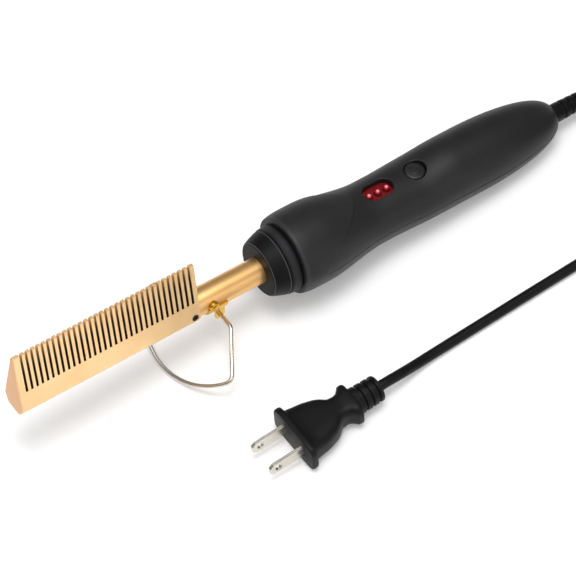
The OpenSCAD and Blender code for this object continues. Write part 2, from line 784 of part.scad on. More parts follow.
// Screw terminals on the board: two for the heater's leads, two for the mains wires
terminal_w = 2.5;
module lead_terminals() color(copper) on_stand() {
    for (s = [-1, 1], x = [lead_end[0] + SEAT, mains_end[0] - terminal_len - SEAT])
        translate([x, s * terminal_y - terminal_w / 2, board_z])
            cube([terminal_len, terminal_w, terminal_h]);
}
mains_end = [board_x + board_len - 1.5, terminal_y, board_z + terminal_h / 2];
triac_size = [6, 5, 3];
module triac() color(black) on_stand() {
    translate([handle_x + window_x + 8, -board_w / 2 + 1, board_z]) cube(triac_size);
}
capacitor_size = [9, 4.5, 4];
module capacitor() color("#b98a2e") on_stand() {
    translate([handle_x + window_x + 6.5, board_w / 2 - 5.5, board_z]) cube(capacitor_size);
}

// ---- Cord entry ----
clamp_half = clamp_w / 2;
entry_x = handle_x + clamp_x - clamp_half - 3;
wire_core_r = 0.9;
// Places along the wires are shares of the way from the cord's end to the terminals
function mains_path(s) = let (way = mains_end[0] - entry_x) [
    [entry_x, s * 1.1, 0],
    [entry_x + 0.08 * way, s * 1.2, 0],
    [entry_x + 0.31 * way, s * 5.6, 0.9],
    [entry_x + 0.55 * way, s * terminal_y, mains_end[2]],
    [entry_x + 0.8 * way, s * terminal_y, mains_end[2]],
    [mains_end[0], s * terminal_y, mains_end[2]],
];
module mains_wires() color(copper) on_stand() {
    for (s = [-1, 1]) sweep(smooth_path(mains_path(s), 3), wire_core_r, 8, [-1, 0, 0], [-1, 0, 0]);
}
module cord_clamp() color(black) on_stand() {
    difference() {
        translate([handle_x + clamp_x - clamp_half, -clamp_post_y - 2.4, cord_r + SEAT])
            cube([clamp_w, 2 * clamp_post_y + 4.8, clamp_t]);
        for (s = [-1, 1]) translate([handle_x + clamp_x, s * clamp_post_y, 0])
            cylinder(h = 4 * cord_r, r = board_hole_r + 0.1);
    }
}
module clamp_screws() color(steel) on_stand() {
    for (s = [-1, 1])
        translate([handle_x + clamp_x, s * clamp_post_y, cord_r + SEAT + clamp_t])
            mirror([0, 0, 1])
                pan_screw(small_screw_d, clamp_t + small_screw_grip, small_head_r, small_head_h);
}

// The boot: a flange inside the tail, a neck in the tail's mouth, then tapering ribs
boot_ribs = 7;
boot_groove = 0.45;
boot_smooth = 5;
module strain_relief() color(black) on_stand() {
    root = boot_root_d / 2;
    end = boot_end_d / 2;
    rib = (boot_len - boot_smooth - 1) / boot_ribs;
    flange_x = handle_x + tail_lip_at - 0.1;
    turned(concat(
        [[flange_x - 2.5, cord_r + SEAT], [flange_x - 2.5, root + 1.4], [flange_x - 0.2, root + 1.4],
            [flange_x - 0.2, root]],
        [for (i = [0:boot_ribs - 1]) let (
                a = boot_x + boot_smooth + i * rib,
                r = mix(root, end, (i + 0.5) / boot_ribs)
            )
            each [[a, r], [a + 0.1, r - boot_groove], [a + 1.1, r - boot_groove], [a + 1.2, r]]],
        [[comb_end_x - 0.6, end], [comb_end_x, end - 0.4], [comb_end_x, cord_r + SEAT]]));
}
module cord_entry() color(black) on_stand() {
    rod(entry_x, comb_end_x - entry_x, cord_r);
}

// ---- Free cord, coil and plug, on the surface ----
cord_out = [place_x(comb_end_x, 0) + shift_x, 0, place_z(comb_end_x, 0)];
coil_lift = tie_t + 0.3;
coil_low = coil_lift + cord_r;
coil_reach = 34.77;
coil_x = cord_out[0] + coil_reach;
coil_y = -32;
coil_sides = 6;
loop_steps = 24;
coil_span = coil_layers * coil_turns;
// Steady spiral in and out, and a climb of one layer in the half turn at each reversal
function spiral_r(u) =
    let (k = floor(u / coil_turns), v = u - k * coil_turns)
    coil_r - coil_pitch * (k % 2 == 0 ? v : coil_turns - v);
function climb(u) =
    let (k = round(u / coil_turns))
    k < 1 || k > coil_layers - 1 ? 0 : smooth(u, k * coil_turns - 0.25, k * coil_turns + 0.25);
function layer_z(u) =
    let (k = round(u / coil_turns), inside = k > 0 && k < coil_layers)
    coil_low + coil_pitch * (inside ? k - 1 + climb(u) : min(floor(u / coil_turns), coil_layers - 1));
function coil_point(u) =
    [coil_x + spiral_r(u) * sin(360 * u), coil_y + spiral_r(u) * cos(360 * u), layer_z(u)];
coil_end_y = coil_y - coil_r;
coil_top = coil_low + (coil_layers - 1) * coil_pitch;
coil_path = concat(
    [[coil_x - cord_d, coil_y + coil_r, coil_low]],
    [for (i = [0:coil_span * loop_steps]) coil_point(i / loop_steps)],
    [[coil_x - cord_d, coil_end_y, coil_top]]);
coil_gap = min([for (i = [0:len(coil_path) - 1], j = [i + 12:1:len(coil_path) - 1])
    norm(coil_path[i] - coil_path[j])]) - cord_d;
echo(coil_gap = coil_gap, coil_len = len(coil_path));

module cord_tail() color(black) {
    down = [cos(pitch), 0, -sin(pitch)];
    path = [
        cord_out,
        cord_out + cord_d * down,
        [cord_out[0] + 14, 0, cord_out[2] - 2],
        [coil_x - 3 * cord_d, coil_y + coil_r, coil_low + 0.4],
        [coil_x - 2 * cord_d, coil_y + coil_r, coil_low],
        [coil_x - cord_d, coil_y + coil_r, coil_low],
    ];
    sweep(path, cord_r, 10, down, [1, 0, 0]);
}
module cord_coil() color(black) {
    sweep(coil_path, cord_r, coil_sides, [1, 0, 0], [-1, 0, 0]);
}
tie_gap = 0.3;
module coil_tie() color(dark) {
    inner = coil_r - coil_pitch * coil_turns - cord_r - tie_gap;
    outer = coil_r + cord_r + tie_gap;
    high = coil_top + cord_r + tie_gap;
    translate([coil_x, coil_y - tie_w / 2, 0]) difference() {
        translate([inner - tie_t, 0, 0]) cube([outer - inner + 2 * tie_t, tie_w, high + tie_t]);
        translate([inner, -1, tie_t]) cube([outer - inner, tie_w + 2, high - tie_t]);
    }
}

plug_y = -66;
plug_z = plug_h / 2;
flange_x = -62.2;
flange_t = 3;
neck_r = 6.1;
plug_end_x = flange_x + flange_t + plug_len + 8;
lead_points = [
    [coil_x - cord_d, coil_end_y, coil_top],
    [coil_x - 2 * cord_d, coil_end_y, coil_top],
    [160, -64, 15],
    [140, -64, 6],
    [124, -63.5, 2.4],
    [108, -63.5, 2.3],
    [84, -63.5, 2.3],
    [60, -63.4, 2.3],
    [36, -63.4, 2.3],
    [12, -63.6, 2.6],
    [0, -64.4, 4],
    [-8, -65.6, 6.4],
    [plug_end_x + cord_d, plug_y, plug_z],
    [plug_end_x, plug_y, plug_z],
];
module cord_lead() color(black) {
    sweep(smooth_path(lead_points, 3), cord_r, 10, [-1, 0, 0], [-1, 0, 0]);
}
module on_plug_axis() {
    translate([flange_x, plug_y, plug_z]) children();
}
// Upright slab with rounded corners, square to the plug's axis
module plug_slab(len, w, h, r) {
    rotate([90, 0, 90]) linear_extrude(len) {
        square([w - 2 * r, h], center = true);
        square([w, h - 2 * r], center = true);
        for (i = [-1, 1], j = [-1, 1]) translate([i * (w / 2 - r), j * (h / 2 - r)]) circle(r);
    }
}
// Widths and heights of the grip and the shoulder, at places behind the flange's back
grip = [
    [-1, 23.6, 13.4], [4.3, 22.8, 13], [8.5, 21.5, 12.6], [12.7, 18.9, 12.2], [15.8, 14.8, 11.9],
    [17.9, 11.8, 11.6], [21, 11.4, 11.4], [24.2, 16.8, 12.4], [26.6, 17.2, 12.4],
];
grip_corner = 4;
corner_steps = 5;
function grip_ring(g) = [for (c = [0:3], k = [0:corner_steps]) let (
        a = 90 * (c + k / corner_steps),
        w = g[1] / 2 - grip_corner,
        h = g[2] / 2 - grip_corner
    )
    [flange_t + g[0], -(c == 0 || c == 3 ? w : -w) - grip_corner * cos(a),
        (c < 2 ? h : -h) + grip_corner * sin(a)]];
neck_at = 26;
neck_rib = 3.3;
module plug_body() color(black) on_plug_axis() {
    difference() {
        union() {
            plug_slab(flange_t, plug_w, plug_h, 3);
            polyhedron(
                points = [for (g = grip) each grip_ring(g)],
                faces = ring_faces(len(grip), 4 * (corner_steps + 1)));
            turned(concat(
                [[flange_t + neck_at, 0], [flange_t + neck_at, neck_r]],
                [for (i = [1:3]) let (a = flange_t + neck_at + i * neck_rib, r = neck_r - 0.1 * i)
                    each [[a, r], [a, r - 1], [a + 1.2, r - 1], [a + 1.2, r - 0.1]]],
                [[plug_end_x - flange_x, neck_r - 0.4], [plug_end_x - flange_x, 0]]));
        }
        for (s = [-1, 1]) translate([-1, s * blade_gap / 2 - blade_t / 2 - SEAT, -blade_h / 2 - SEAT])
            cube([blade_root + 1, blade_t + 2 * SEAT, blade_h + 2 * SEAT]);
    }
}
blade_root = 9;
blade_hole_d = 3.2;
blade_hole_from_tip = 4;
module plug_blades() color("#d8b878") on_plug_axis() {
    for (s = [-1, 1]) translate([-blade_len, s * blade_gap / 2 - blade_t / 2, 0]) difference() {
        translate([0, 0, -blade_h / 2]) cube([blade_len + blade_root - SEAT, blade_t, blade_h]);
        translate([blade_hole_from_tip, 0, 0]) rotate([90, 0, 0])
            cylinder(h = 4 * blade_t, d = blade_hole_d, center = true);
        for (k = [-1, 1]) translate([0, 0, k * blade_h / 2]) rotate([0, 45, 0])
            cube([2.4, 3 * blade_t, 2.4], center = true);
    }
}

comb_head();
head_grub_screw();
cartridge_heater();
heater_sleeve();
heater_leads();
thermal_fuse();
neck_tube();
tube_ring();
stand_bracket();
bracket_rivets();
stand_wire();
nose_collar();
front_cover();
upper_shell();
lower_shell();
shell_screws();
window_lens();
indicator_lamps();
power_button();
button_switch();
circuit_board();
board_screws();
lead_terminals();
triac();
capacitor();
mains_wires();
cord_clamp();
clamp_screws();
strain_relief();
cord_entry();
cord_tail();
cord_coil();
coil_tie();
cord_lead();
plug_body();
plug_blades();
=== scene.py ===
"""Looks of an electric hot comb that lies on its wire stand, with its cord and plug.

The comb is described along its own axis, in millimetres: x runs from the free end of
the head to the tail, teeth up along z. Placement turns that into the frame's metres.
"""

import json
import logging
import math
from dataclasses import dataclass, field
from enum import Enum
from typing import Any, Sequence

import bmesh
import bpy
import numpy as np
from mathutils import Matrix, Vector

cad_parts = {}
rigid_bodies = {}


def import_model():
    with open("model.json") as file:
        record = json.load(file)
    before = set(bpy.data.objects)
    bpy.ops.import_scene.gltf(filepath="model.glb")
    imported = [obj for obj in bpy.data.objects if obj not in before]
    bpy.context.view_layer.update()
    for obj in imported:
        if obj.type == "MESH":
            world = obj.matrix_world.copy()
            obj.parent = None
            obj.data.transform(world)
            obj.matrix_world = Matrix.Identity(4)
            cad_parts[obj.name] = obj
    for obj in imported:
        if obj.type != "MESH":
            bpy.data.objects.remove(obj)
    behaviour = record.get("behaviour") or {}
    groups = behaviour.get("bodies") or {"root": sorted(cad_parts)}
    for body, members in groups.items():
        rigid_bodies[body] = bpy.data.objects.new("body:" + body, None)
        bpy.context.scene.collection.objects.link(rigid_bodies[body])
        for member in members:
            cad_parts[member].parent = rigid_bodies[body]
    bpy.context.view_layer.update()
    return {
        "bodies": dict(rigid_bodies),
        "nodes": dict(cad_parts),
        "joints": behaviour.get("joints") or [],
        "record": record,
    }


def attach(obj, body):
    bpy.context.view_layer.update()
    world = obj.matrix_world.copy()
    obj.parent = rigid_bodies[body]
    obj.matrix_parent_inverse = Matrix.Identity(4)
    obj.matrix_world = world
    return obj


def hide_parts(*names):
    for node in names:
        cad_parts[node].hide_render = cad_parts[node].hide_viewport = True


LOG = logging.getLogger("hot_comb")
MM = 0.001
# Points of a new mesh, and of a copied CAD mesh, that lie closer than this are one, in metres.
SAME_POINT = 1e-7
SAME_CAD_POINT = 2e-6
WHITE = (1.0, 1.0, 1.0, 1.0)
# Where the stand's pins turn, along the comb and over its axis, in millimetres.
PIVOT = (96.4, -9.4)
# How far the comb is pitched tail down on its stand, in degrees.
PITCH = 5.55
FRAME: dict[str, Any] = {}

Grid = np.ndarray
Piece = bpy.types.Object
Material = bpy.types.Material
Tree = bpy.types.NodeTree
Node = bpy.types.Node
Socket = bpy.types.NodeSocket


class Body(Enum):
    """The bodies that pieces ride on."""

    COMB = "comb"
    STAND = "stand"
    BUTTON = "button"


class Slot(Enum):
    """The record's material slots."""

    HEAD = "head_gold"
    TUBE = "tube_gold"
    STEEL = "steel"
    SHELL = "black_plastic"
    COVER = "cover_plastic"
    COLLAR = "collar_resin"
    LENS = "lens"
    LAMP = "lamp"
    CORD = "cord"
    BLADE = "blade"


# ---------------------------------------------------------------- placement


@dataclass(frozen=True)
class Placement:
    """Turns the comb's own millimetres into the frame's metres.

    The comb is pitched tail down about y, then lifted and shifted so that its stand's
    pivot lands on the frame's joint.
    """

    pitch: float
    shift: float
    lift: float

    @classmethod
    def from_pivot(cls, pivot: Sequence[float], x: float, z: float, degrees: float) -> "Placement":
        """Finds the shift and lift that put the comb's point (x, z) on the pivot.

        Args:
            pivot: the joint's place in the frame, in metres.
            x: the pivot's place along the comb, in millimetres.
            z: the pivot's height over the comb's axis, in millimetres.
            degrees: the pitch, tail down.

        Returns:
            The placement.
        """
        p = math.radians(degrees)
        shift = pivot[0] / MM - x * math.cos(p) - z * math.sin(p)
        lift = pivot[2] / MM + x * math.sin(p) - z * math.cos(p)
        return cls(p, shift, lift)

    def undo(self, points: Grid) -> Grid:
        """Brings placed points, in metres, back to the comb's own millimetres."""
        c, s = math.cos(self.pitch), math.sin(self.pitch)
        x, z = points[..., 0] / MM - self.shift, points[..., 2] / MM - self.lift
        return np.stack([c * x - s * z, points[..., 1] / MM, s * x + c * z], axis=-1)

    def __call__(self, points: Grid) -> Grid:
        """Places an array of comb points, whose last axis is x, y, z, in metres."""
        c, s = math.cos(self.pitch), math.sin(self.pitch)
        x, y, z = points[..., 0], points[..., 1], points[..., 2]
        placed = (x * c + z * s + self.shift, y, -x * s + z * c + self.lift)
        return np.stack(placed, axis=-1) * MM


# ---------------------------------------------------------------- meshes


def new_object(name: str, points: Grid, faces: Sequence[Sequence[int]]) -> Piece:
    """Makes a mesh object at the origin.

    Args:
        name: the piece's name.
        points: vertices in metres, one a row.
        faces: vertex numbers of each face.

    Returns:
        The object, linked to the scene.
    """
    mesh = bpy.data.meshes.new(name)
    mesh.from_pydata(points.reshape(-1, 3).tolist(), [], [list(f) for f in faces])
    mesh.validate()
    mesh.polygons.foreach_set("use_smooth", np.full(len(mesh.polygons), True))
    mesh.update()
    piece = bpy.data.objects.new(name, mesh)
    bpy.context.scene.collection.objects.link(piece)
    return piece


def grid_faces(rows: int, cols: int, wrap_rows: bool = False) -> Grid:
    """Numbers the quads of a grid of points that is stored row after row.

    A row is a closed loop, so its last point meets its first.

    Args:
        rows: number of rows.
        cols: number of points in a row.
        wrap_rows: whether the last row meets the first.

    Returns:
        One quad a row.
    """
    i = np.arange(rows if wrap_rows else rows - 1)[:, None]
    j = np.arange(cols)[None, :]
    i2, j2 = (i + 1) % rows, (j + 1) % cols
    quads = (i * cols + j, i * cols + j2, i2 * cols + j2, i2 * cols + j)
    return np.stack(np.broadcast_arrays(*quads), axis=-1).reshape(-1, 4)


def outward(piece: Piece) -> Piece:
    """Merges doubled points and turns all faces of a closed piece outwards."""
    bm = bmesh.new()
    bm.from_mesh(piece.data)
    bmesh.ops.remove_doubles(bm, verts=bm.verts, dist=SAME_POINT)
    bmesh.ops.recalc_face_normals(bm, faces=bm.faces)
    bm.to_mesh(piece.data)
    bm.free()
    return piece


def through_rings(name: str, grid: Grid, wrap_rows: bool) -> Piece:
    """Lays a surface through rings of points in metres, its faces outwards."""
    return outward(new_object(name, grid, grid_faces(*grid.shape[:2], wrap_rows).tolist()))


def skin(name: str, grid: Grid) -> Piece:
    """Closes a grid of rings into a solid, and fills its first and last ring.

    Args:
        name: the piece's name.
        grid: rings in metres, shape (rings, points, 3), each ring a closed loop.

    Returns:
        The piece, its faces outwards.
    """
    rings, cols = grid.shape[:2]
    faces = grid_faces(rings, cols).tolist()
    faces.append(list(range(cols))[::-1])
    faces.append(list(range((rings - 1) * cols, rings * cols)))
    return outward(new_object(name, grid, faces))


def rounded(profile: Sequence[tuple[float, float, float]], steps: int = 5) -> Grid:
    """Rounds the corners of an open profile with circle-like arcs.

    Each corner's arc is a quadratic curve that leaves the two sides at the distance
    that its rounding asks for, or just under half a side where that is too far.

    Args:
        profile: rows of (along, radius, corner rounding).
        steps: points in an arc.

    Returns:
        The profile's points, one a row.
    """
    most = 0.49
    p = np.array(profile, float)
    out = [p[0, :2]]
    for before, corner, after in zip(p[:-2], p[1:-1], p[2:]):
        reach = corner[2]
        if reach <= 0:
            out.append(corner[:2])
            continue
        a = before[:2] - corner[:2]
        b = after[:2] - corner[:2]
        a *= min(reach / np.linalg.norm(a), most)
        b *= min(reach / np.linalg.norm(b), most)
        t = np.linspace(0, 1, steps)[:, None]
        out.extend(corner[:2] + a * (1 - t) ** 2 + b * t**2)
    out.append(p[-1, :2])
    return np.array(out)


def lathe(name: str, profile: Grid, place: Placement, segments: int = 96) -> Piece:
    """Turns a closed profile of (along, radius) round the comb's axis into a ring.

    A point is (along, r cos a, r sin a) for the angle a round the axis.

    Args:
        name: the piece's name.
        profile: points in millimetres, one a row.
        place: puts comb points into the frame.
        segments: points round the axis.

    Returns:
        The piece.
    """
    a = np.linspace(0, 2 * np.pi, segments, endpoint=False)
    along = np.repeat(profile[:, :1], segments, axis=1)
    grid = np.stack([along, profile[:, 1:] * np.cos(a), profile[:, 1:] * np.sin(a)], axis=-1)
    return through_rings(name, place(grid), wrap_rows=True)


def curve_through(points: Grid, steps: int) -> Grid:
    """Draws a smooth curve through route points.

    Between two points the curve is the usual cubic whose slope at a point is half the
    way from the point before it to the one after.

    Args:
        points: route points, one a row.
        steps: pieces that each span is cut into.

    Returns:
        The curve's points.
    """
    padded = np.vstack([points[:1], points, points[-1:]])
    a, b, c, d = padded[:-3], padded[1:-2], padded[2:-1], padded[3:]
    s = (np.arange(steps) / steps)[None, :, None]
    a, b, c, d = (v[:, None, :] for v in (a, b, c, d))
    cubic = 2 * b + (c - a) * s + (2 * a - 5 * b + 4 * c - d) * s**2 + (3 * b - 3 * c + d - a) * s**3
    return np.vstack([(0.5 * cubic).reshape(-1, 3), points[-1:]])


def tube_grid(path: Grid, radius: float, sides: int, end: Sequence[float] = ()) -> Grid:
    """Sweeps a circle along a path without twist.

    The circle's own axes are carried from ring to ring: each keeps what is left of the
    last ring's side direction after the part along the new tangent is taken away.

    Args:
        path: centre line, one point a row.
        radius: the tube's radius.
        sides: points round the tube.
        end: direction of the last ring, or none to follow the path.

    Returns:
        Rings of points, shape (points, sides, 3).
    """
    tangent = np.gradient(path, axis=0)
    if len(end):
        tangent[-1] = end
    tangent /= np.linalg.norm(tangent, axis=1, keepdims=True)
    side = np.cross(tangent[0], [0.0, 0.0, 1.0] if abs(tangent[0][2]) < 0.9 else [0.0, 1.0, 0.0])
    sides_along = []
    for t in tangent:
        side = side - t * side.dot(t)
        side = side / np.linalg.norm(side)
        sides_along.append(side)
    u = np.array(sides_along)
    v = np.cross(tangent, u)
    a = ((np.arange(sides) + 0.5) * 2 * np.pi / sides)[None, :, None]
    return path[:, None, :] + radius * (np.cos(a) * u[:, None] + np.sin(a) * v[:, None])


def mark_sharp(bm: bmesh.types.BMesh, angle: float) -> None:
    """Shades a mesh smooth, apart from edges sharper than so many degrees."""
    for face in bm.faces:
        face.smooth = True
    limit = math.radians(angle)
    for edge in bm.edges:
        edge.smooth = len(edge.link_faces) == 2 and edge.calc_face_angle(0) < limit


def cad_copy(node: str, name: str, angle: float = 20.0) -> Piece:
    """Copies a CAD node's mesh into a merged mesh that can be bevelled and smoothed.

    Args:
        node: the CAD node.
        name: the new piece's name.
        angle: edges sharper than this many degrees stay crisp.

    Returns:
        The copy, which still has to ride on a body.
    """
    mesh = FRAME["nodes"][node].data.copy()
    mesh.name = name
    mesh.materials.clear()
    piece = bpy.data.objects.new(name, mesh)
    bpy.context.scene.collection.objects.link(piece)
    bm = bmesh.new()
    bm.from_mesh(mesh)
    bmesh.ops.remove_doubles(bm, verts=bm.verts, dist=SAME_CAD_POINT)
    bmesh.ops.dissolve_limit(bm, angle_limit=math.radians(0.5), verts=bm.verts, edges=bm.edges)
    mark_sharp(bm, angle)
    bm.to_mesh(mesh)
    bm.free()
    if mesh.attributes.get("custom_normal"):
        mesh.attributes.remove(mesh.attributes["custom_normal"])
    return piece


def soften(piece: Piece, width_mm: float, segments: int = 2) -> Piece:
    """Rounds a piece's edges that are sharper than 30 degrees, and evens its shading.

    Args:
        piece: the piece.
        width_mm: how far the rounding reaches from an edge.
        segments: faces in the rounding.

    Returns:
        The same piece.
    """
    bevel = piece.modifiers.new("edge", "BEVEL")
    bevel.width = width_mm * MM
    bevel.segments = segments
    bevel.limit_method = "ANGLE"
    bevel.angle_limit = math.radians(30)
    bevel.harden_normals = True
    return piece


def cut(piece: Piece, cutter: Piece) -> Piece:
    """Cuts one closed mesh out of another for good, and deletes the cutter."""
    change = piece.modifiers.new("cut", "BOOLEAN")
    change.operation = "DIFFERENCE"
    change.solver = "EXACT"
    change.object = cutter
    shape = bpy.data.meshes.new_from_object(piece.evaluated_get(bpy.context.evaluated_depsgraph_get()))
    piece.modifiers.clear()
    piece.data = shape
    bpy.data.objects.remove(cutter)
    return piece


def sharpen(piece: Piece, angle: float = 35.0) -> Piece:
    """Marks edges that are sharper than this many degrees, so that they stay crisp."""
    bm = bmesh.new()
    bm.from_mesh(piece.data)
    mark_sharp(bm, angle)
    bm.to_mesh(piece.data)
    bm.free()
    return piece


def finish_piece(
    piece: Piece,
    body: Body,
    material: Material,
    nodes: Sequence[str] = (),
) -> Piece:
    """Gives a piece its material and body, and hides the CAD nodes it stands for.

    Args:
        piece: the piece.
        body: the body it rides on.
        material: its finish.
        nodes: CAD nodes that it replaces.

    Returns:
        The same piece.
    """
    piece.data.materials.clear()
    piece.data.materials.append(material)
    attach(piece, body.value)
    if nodes:
        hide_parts(*nodes)
    points, stands_for = len(piece.data.vertices), ", ".join(nodes) or "itself"
    LOG.info("%s: %d points, on %s, for %s", piece.name, points, body.value, stands_for)
    return piece


def dress_copy(node: str, name: str, edge_mm: float, finish: Material) -> Piece:
    """Stands a copy of one of the comb's CAD nodes in for it, with its edges rounded."""
    return finish_piece(soften(cad_copy(node, name), edge_mm), Body.COMB, finish, [node])


# ---------------------------------------------------------------- materials


def linear(code: str) -> tuple[float, float, float, float]:
    """Turns an sRGB hex colour into linear red, green, blue and an alpha of 1."""
    raw = [int(code.lstrip("#")[i : i + 2], 16) / 255 for i in (0, 2, 4)]
    r, g, b = (c / 12.92 if c <= 0.04045 else ((c + 0.055) / 1.055) ** 2.4 for c in raw)
    return r, g, b, 1.0


def set_inputs(tree: Tree, node: Node, inputs: dict[Any, Any]) -> None:
    """Gives each of a node's sockets, by name or number, a value or a link."""
    for key, value in inputs.items():
        if isinstance(value, Socket):
            tree.links.new(value, node.inputs[key])
        else:
            node.inputs[key].default_value = value


def add_node(tree: Tree, kind: str, settings: dict[str, Any], inputs: dict[Any, Any]) -> Node:
    """Adds a node with its settings and links.

    Args:
        tree: the material's node tree.
        kind: the node's type name, after ShaderNode.
        settings: attributes of the node.
        inputs: socket names or numbers, each with a value or an output socket.

    Returns:
        The node.
    """
    node = tree.nodes.new("ShaderNode" + kind)
    for key, value in settings.items():
        setattr(node, key, value)
    set_inputs(tree, node, inputs)
    return node


def object_coordinates(tree: Tree) -> Socket:
    """Gives the place on the piece, in metres."""
    return add_node(tree, "TexCoord", {}, {}).outputs["Object"]


def calculate(tree: Tree, operation: str, *values: Socket | float) -> Socket:
    """Works one sum out of its values."""
    return add_node(tree, "Math", {"operation": operation}, dict(enumerate(values))).outputs[0]


def map_range(
    tree: Tree, value: Socket, start: float, end: float, low: float = 0.0, high: float = 1.0
) -> Socket:
    """Goes evenly from low to high as a value goes from start to end, and no further."""
    return add_node(tree, "MapRange", {}, {0: value, 1: start, 2: end, 3: low, 4: high}).outputs[0]


def lay_over(tree: Tree, share: Socket, under: Socket, over: Socket | Sequence[float]) -> Socket:
    """Mixes a share of one colour over another."""
    return add_node(tree, "Mix", {"data_type": "RGBA"}, {0: share, 6: under, 7: over}).outputs[2]


def ramp(tree: Tree, factor: Socket, stops: Sequence[tuple[float, str]]) -> Socket:
    """Adds a colour ramp.

    Args:
        tree: the material's node tree.
        factor: what drives the ramp.
        stops: rows of (place, hex colour).

    Returns:
        The ramp's colour.
    """
    node = add_node(tree, "ValToRGB", {}, {0: factor})
    stack = node.color_ramp.elements
    while len(stack) < len(stops):
        stack.new(1.0)
    for element, (place, code) in zip(stack, stops):
        element.position = place
        element.color = linear(code)
    return node.outputs["Color"]


def new_material(name: str) -> tuple[Material, Tree, Node]:
    """Makes a material, and gives it with its node tree and its shader."""
    material = bpy.data.materials.new(name)
    material.use_nodes = True
    return material, material.node_tree, material.node_tree.nodes["Principled BSDF"]


class Grain(Enum):
    """How a surface was worked, which sets the direction of its fine marks."""

    EVEN = (1.0, 1.0, 1.0)
    ALONG_X = (0.06, 1.0, 1.0)


@dataclass(frozen=True)
class Surface:
    """A finish with a fine grain and slow wear, from nodes on Object coordinates.

    The grain is a noise of a real size that moves the roughness and the bump. The wear
    is a far slower noise that moves the colour a little. Each range is the middle part
    of its noise, so that both ends of it are reached.
    """

    name: str
    colour: str
    worn: str
    metallic: float = 0.0
    roughness: float = 0.4
    roughness_play: float = 0.06
    grain: Grain = Grain.EVEN
    grain_mm: float = 0.5
    grain_depth_mm: float = 0.01
    grain_range: tuple[float, float] = (0.25, 0.75)
    wear_mm: float = 14.0
    wear_range: tuple[float, float] = (0.35, 0.75)
    ior: float = 1.5
    specular: float = 0.5
    transmission: float = 0.0
    glow: float = 0.0

    def build(self) -> Material:
        """Makes the material, or returns the one made before under this name."""
        found = bpy.data.materials.get(self.name)
        if found:
            return found
        material, tree, shader = new_material(self.name)
        where = object_coordinates(tree)
        stretch = add_node(tree, "Mapping", {}, {"Vector": where, "Scale": self.grain.value})
        fine = {"Scale": 1 / (self.grain_mm * MM), "Detail": 3.0, "Roughness": 0.6}
        grain = add_node(tree, "TexNoise", {}, {"Vector": stretch.outputs["Vector"], **fine}).outputs["Fac"]
        slow = {"Scale": 1 / (self.wear_mm * MM), "Detail": 2.0}
        wear = add_node(tree, "TexNoise", {}, {"Vector": where, **slow}).outputs["Fac"]
        colour = ramp(tree, map_range(tree, wear, *self.wear_range), [(0.0, self.colour), (1.0, self.worn)])
        low, high = self.roughness - self.roughness_play, self.roughness + self.roughness_play
        depth = {"Height": grain, "Strength": 1.0, "Distance": self.grain_depth_mm * MM}
        set_inputs(tree, shader, {
            "Base Color": colour,
            "Roughness": map_range(tree, grain, *self.grain_range, low, high),
            "Normal": add_node(tree, "Bump", {}, depth).outputs["Normal"],
            "Metallic": self.metallic,
            "Transmission Weight": self.transmission,
        })
        # A glow is painted light: the surface gives off light though it is no lamp.
        if self.glow > 0:
            set_inputs(tree, shader, {"Emission Color": colour, "Emission Strength": self.glow})
        if self.metallic < 0.5:
            set_inputs(tree, shader, {"IOR": self.ior, "Specular IOR Level": self.specular})
        return material


# Brass bar, bead blasted and plated champagne gold: pale, even and nearly matt.
HEAD_PLATE = Surface(
    "blasted_gold_plate", "#fad7a3", "#f3cb96", metallic=1.0, roughness=0.46, grain_mm=0.45,
    grain_depth_mm=0.006,
)
# Drawn brass tube under satin gold plate: deeper gold, long broad highlights.
TUBE_PLATE = Surface(
    "drawn_gold_plate", "#f3c585", "#ebb776", metallic=1.0, roughness=0.4, grain=Grain.ALONG_X,
    grain_mm=0.3, grain_depth_mm=0.002,
)
# Pressed brass strap and its rivets, barrel polished: yellower and glossier than the tube.
STRAP_BRASS = Surface(
    "polished_brass", "#dcae4c", "#cf9d3a", metallic=1.0, roughness=0.2, grain_mm=0.5,
    grain_depth_mm=0.003,
)
# Spring steel wire, bright drawn: lines run along the wire, which is too fine to show.
WIRE_STEEL = Surface(
    "drawn_spring_steel", "#dcd6cd", "#ccc6bc", metallic=1.0, roughness=0.22, grain_mm=0.4,
    grain_depth_mm=0.003,
)
SCREW_STEEL = Surface(
    "zinc_plated_steel", "#c3c6cb", "#b0b4ba", metallic=1.0, roughness=0.3, grain_mm=0.3,
    grain_depth_mm=0.004,
)
DARK_STEEL = Surface(
    "blackened_steel", "#1c1c1d", "#2a2928", metallic=0.9, roughness=0.45, grain_mm=0.3,
    grain_depth_mm=0.004,
)
# Nylon shells from a spark-eroded mould: a fine even grain that spreads highlights.
SHELL_NYLON = Surface(
    "moulded_nylon", "#121213", "#171718", roughness=0.48, grain_mm=0.35, grain_depth_mm=0.012, ior=1.53,
    specular=0.36,
)
COVER_NYLON = Surface(
    "moulded_nylon_cover", "#1c1c1d", "#222223", roughness=0.5, grain_mm=0.35, grain_depth_mm=0.012,
    ior=1.53, specular=0.28,
)
# Phenolic resin, compression moulded: darker and duller than the nylon.
COLLAR_RESIN = Surface(
    "phenolic_resin", "#0b0b0c", "#101011", roughness=0.5, grain_mm=0.6, grain_depth_mm=0.008, ior=1.6,
    specular=0.1,
)
BUTTON_ABS = Surface(
    "moulded_abs", "#121213", "#171718", roughness=0.4, grain_mm=0.3, grain_depth_mm=0.01, ior=1.54,
    specular=0.45,
)
# Soft PVC jacket: slightly waxy, with a faint orange-peel from extrusion.
CORD_PVC = Surface(
    "extruded_pvc", "#080809", "#0d0d0e", roughness=0.42, grain_mm=0.9, grain_depth_mm=0.02, ior=1.53,
    specular=0.16,
)
PLUG_PVC = Surface(
    "moulded_pvc", "#0a0a0b", "#101011", roughness=0.46, grain_mm=0.5, grain_depth_mm=0.02, ior=1.53,
    specular=0.16,
)
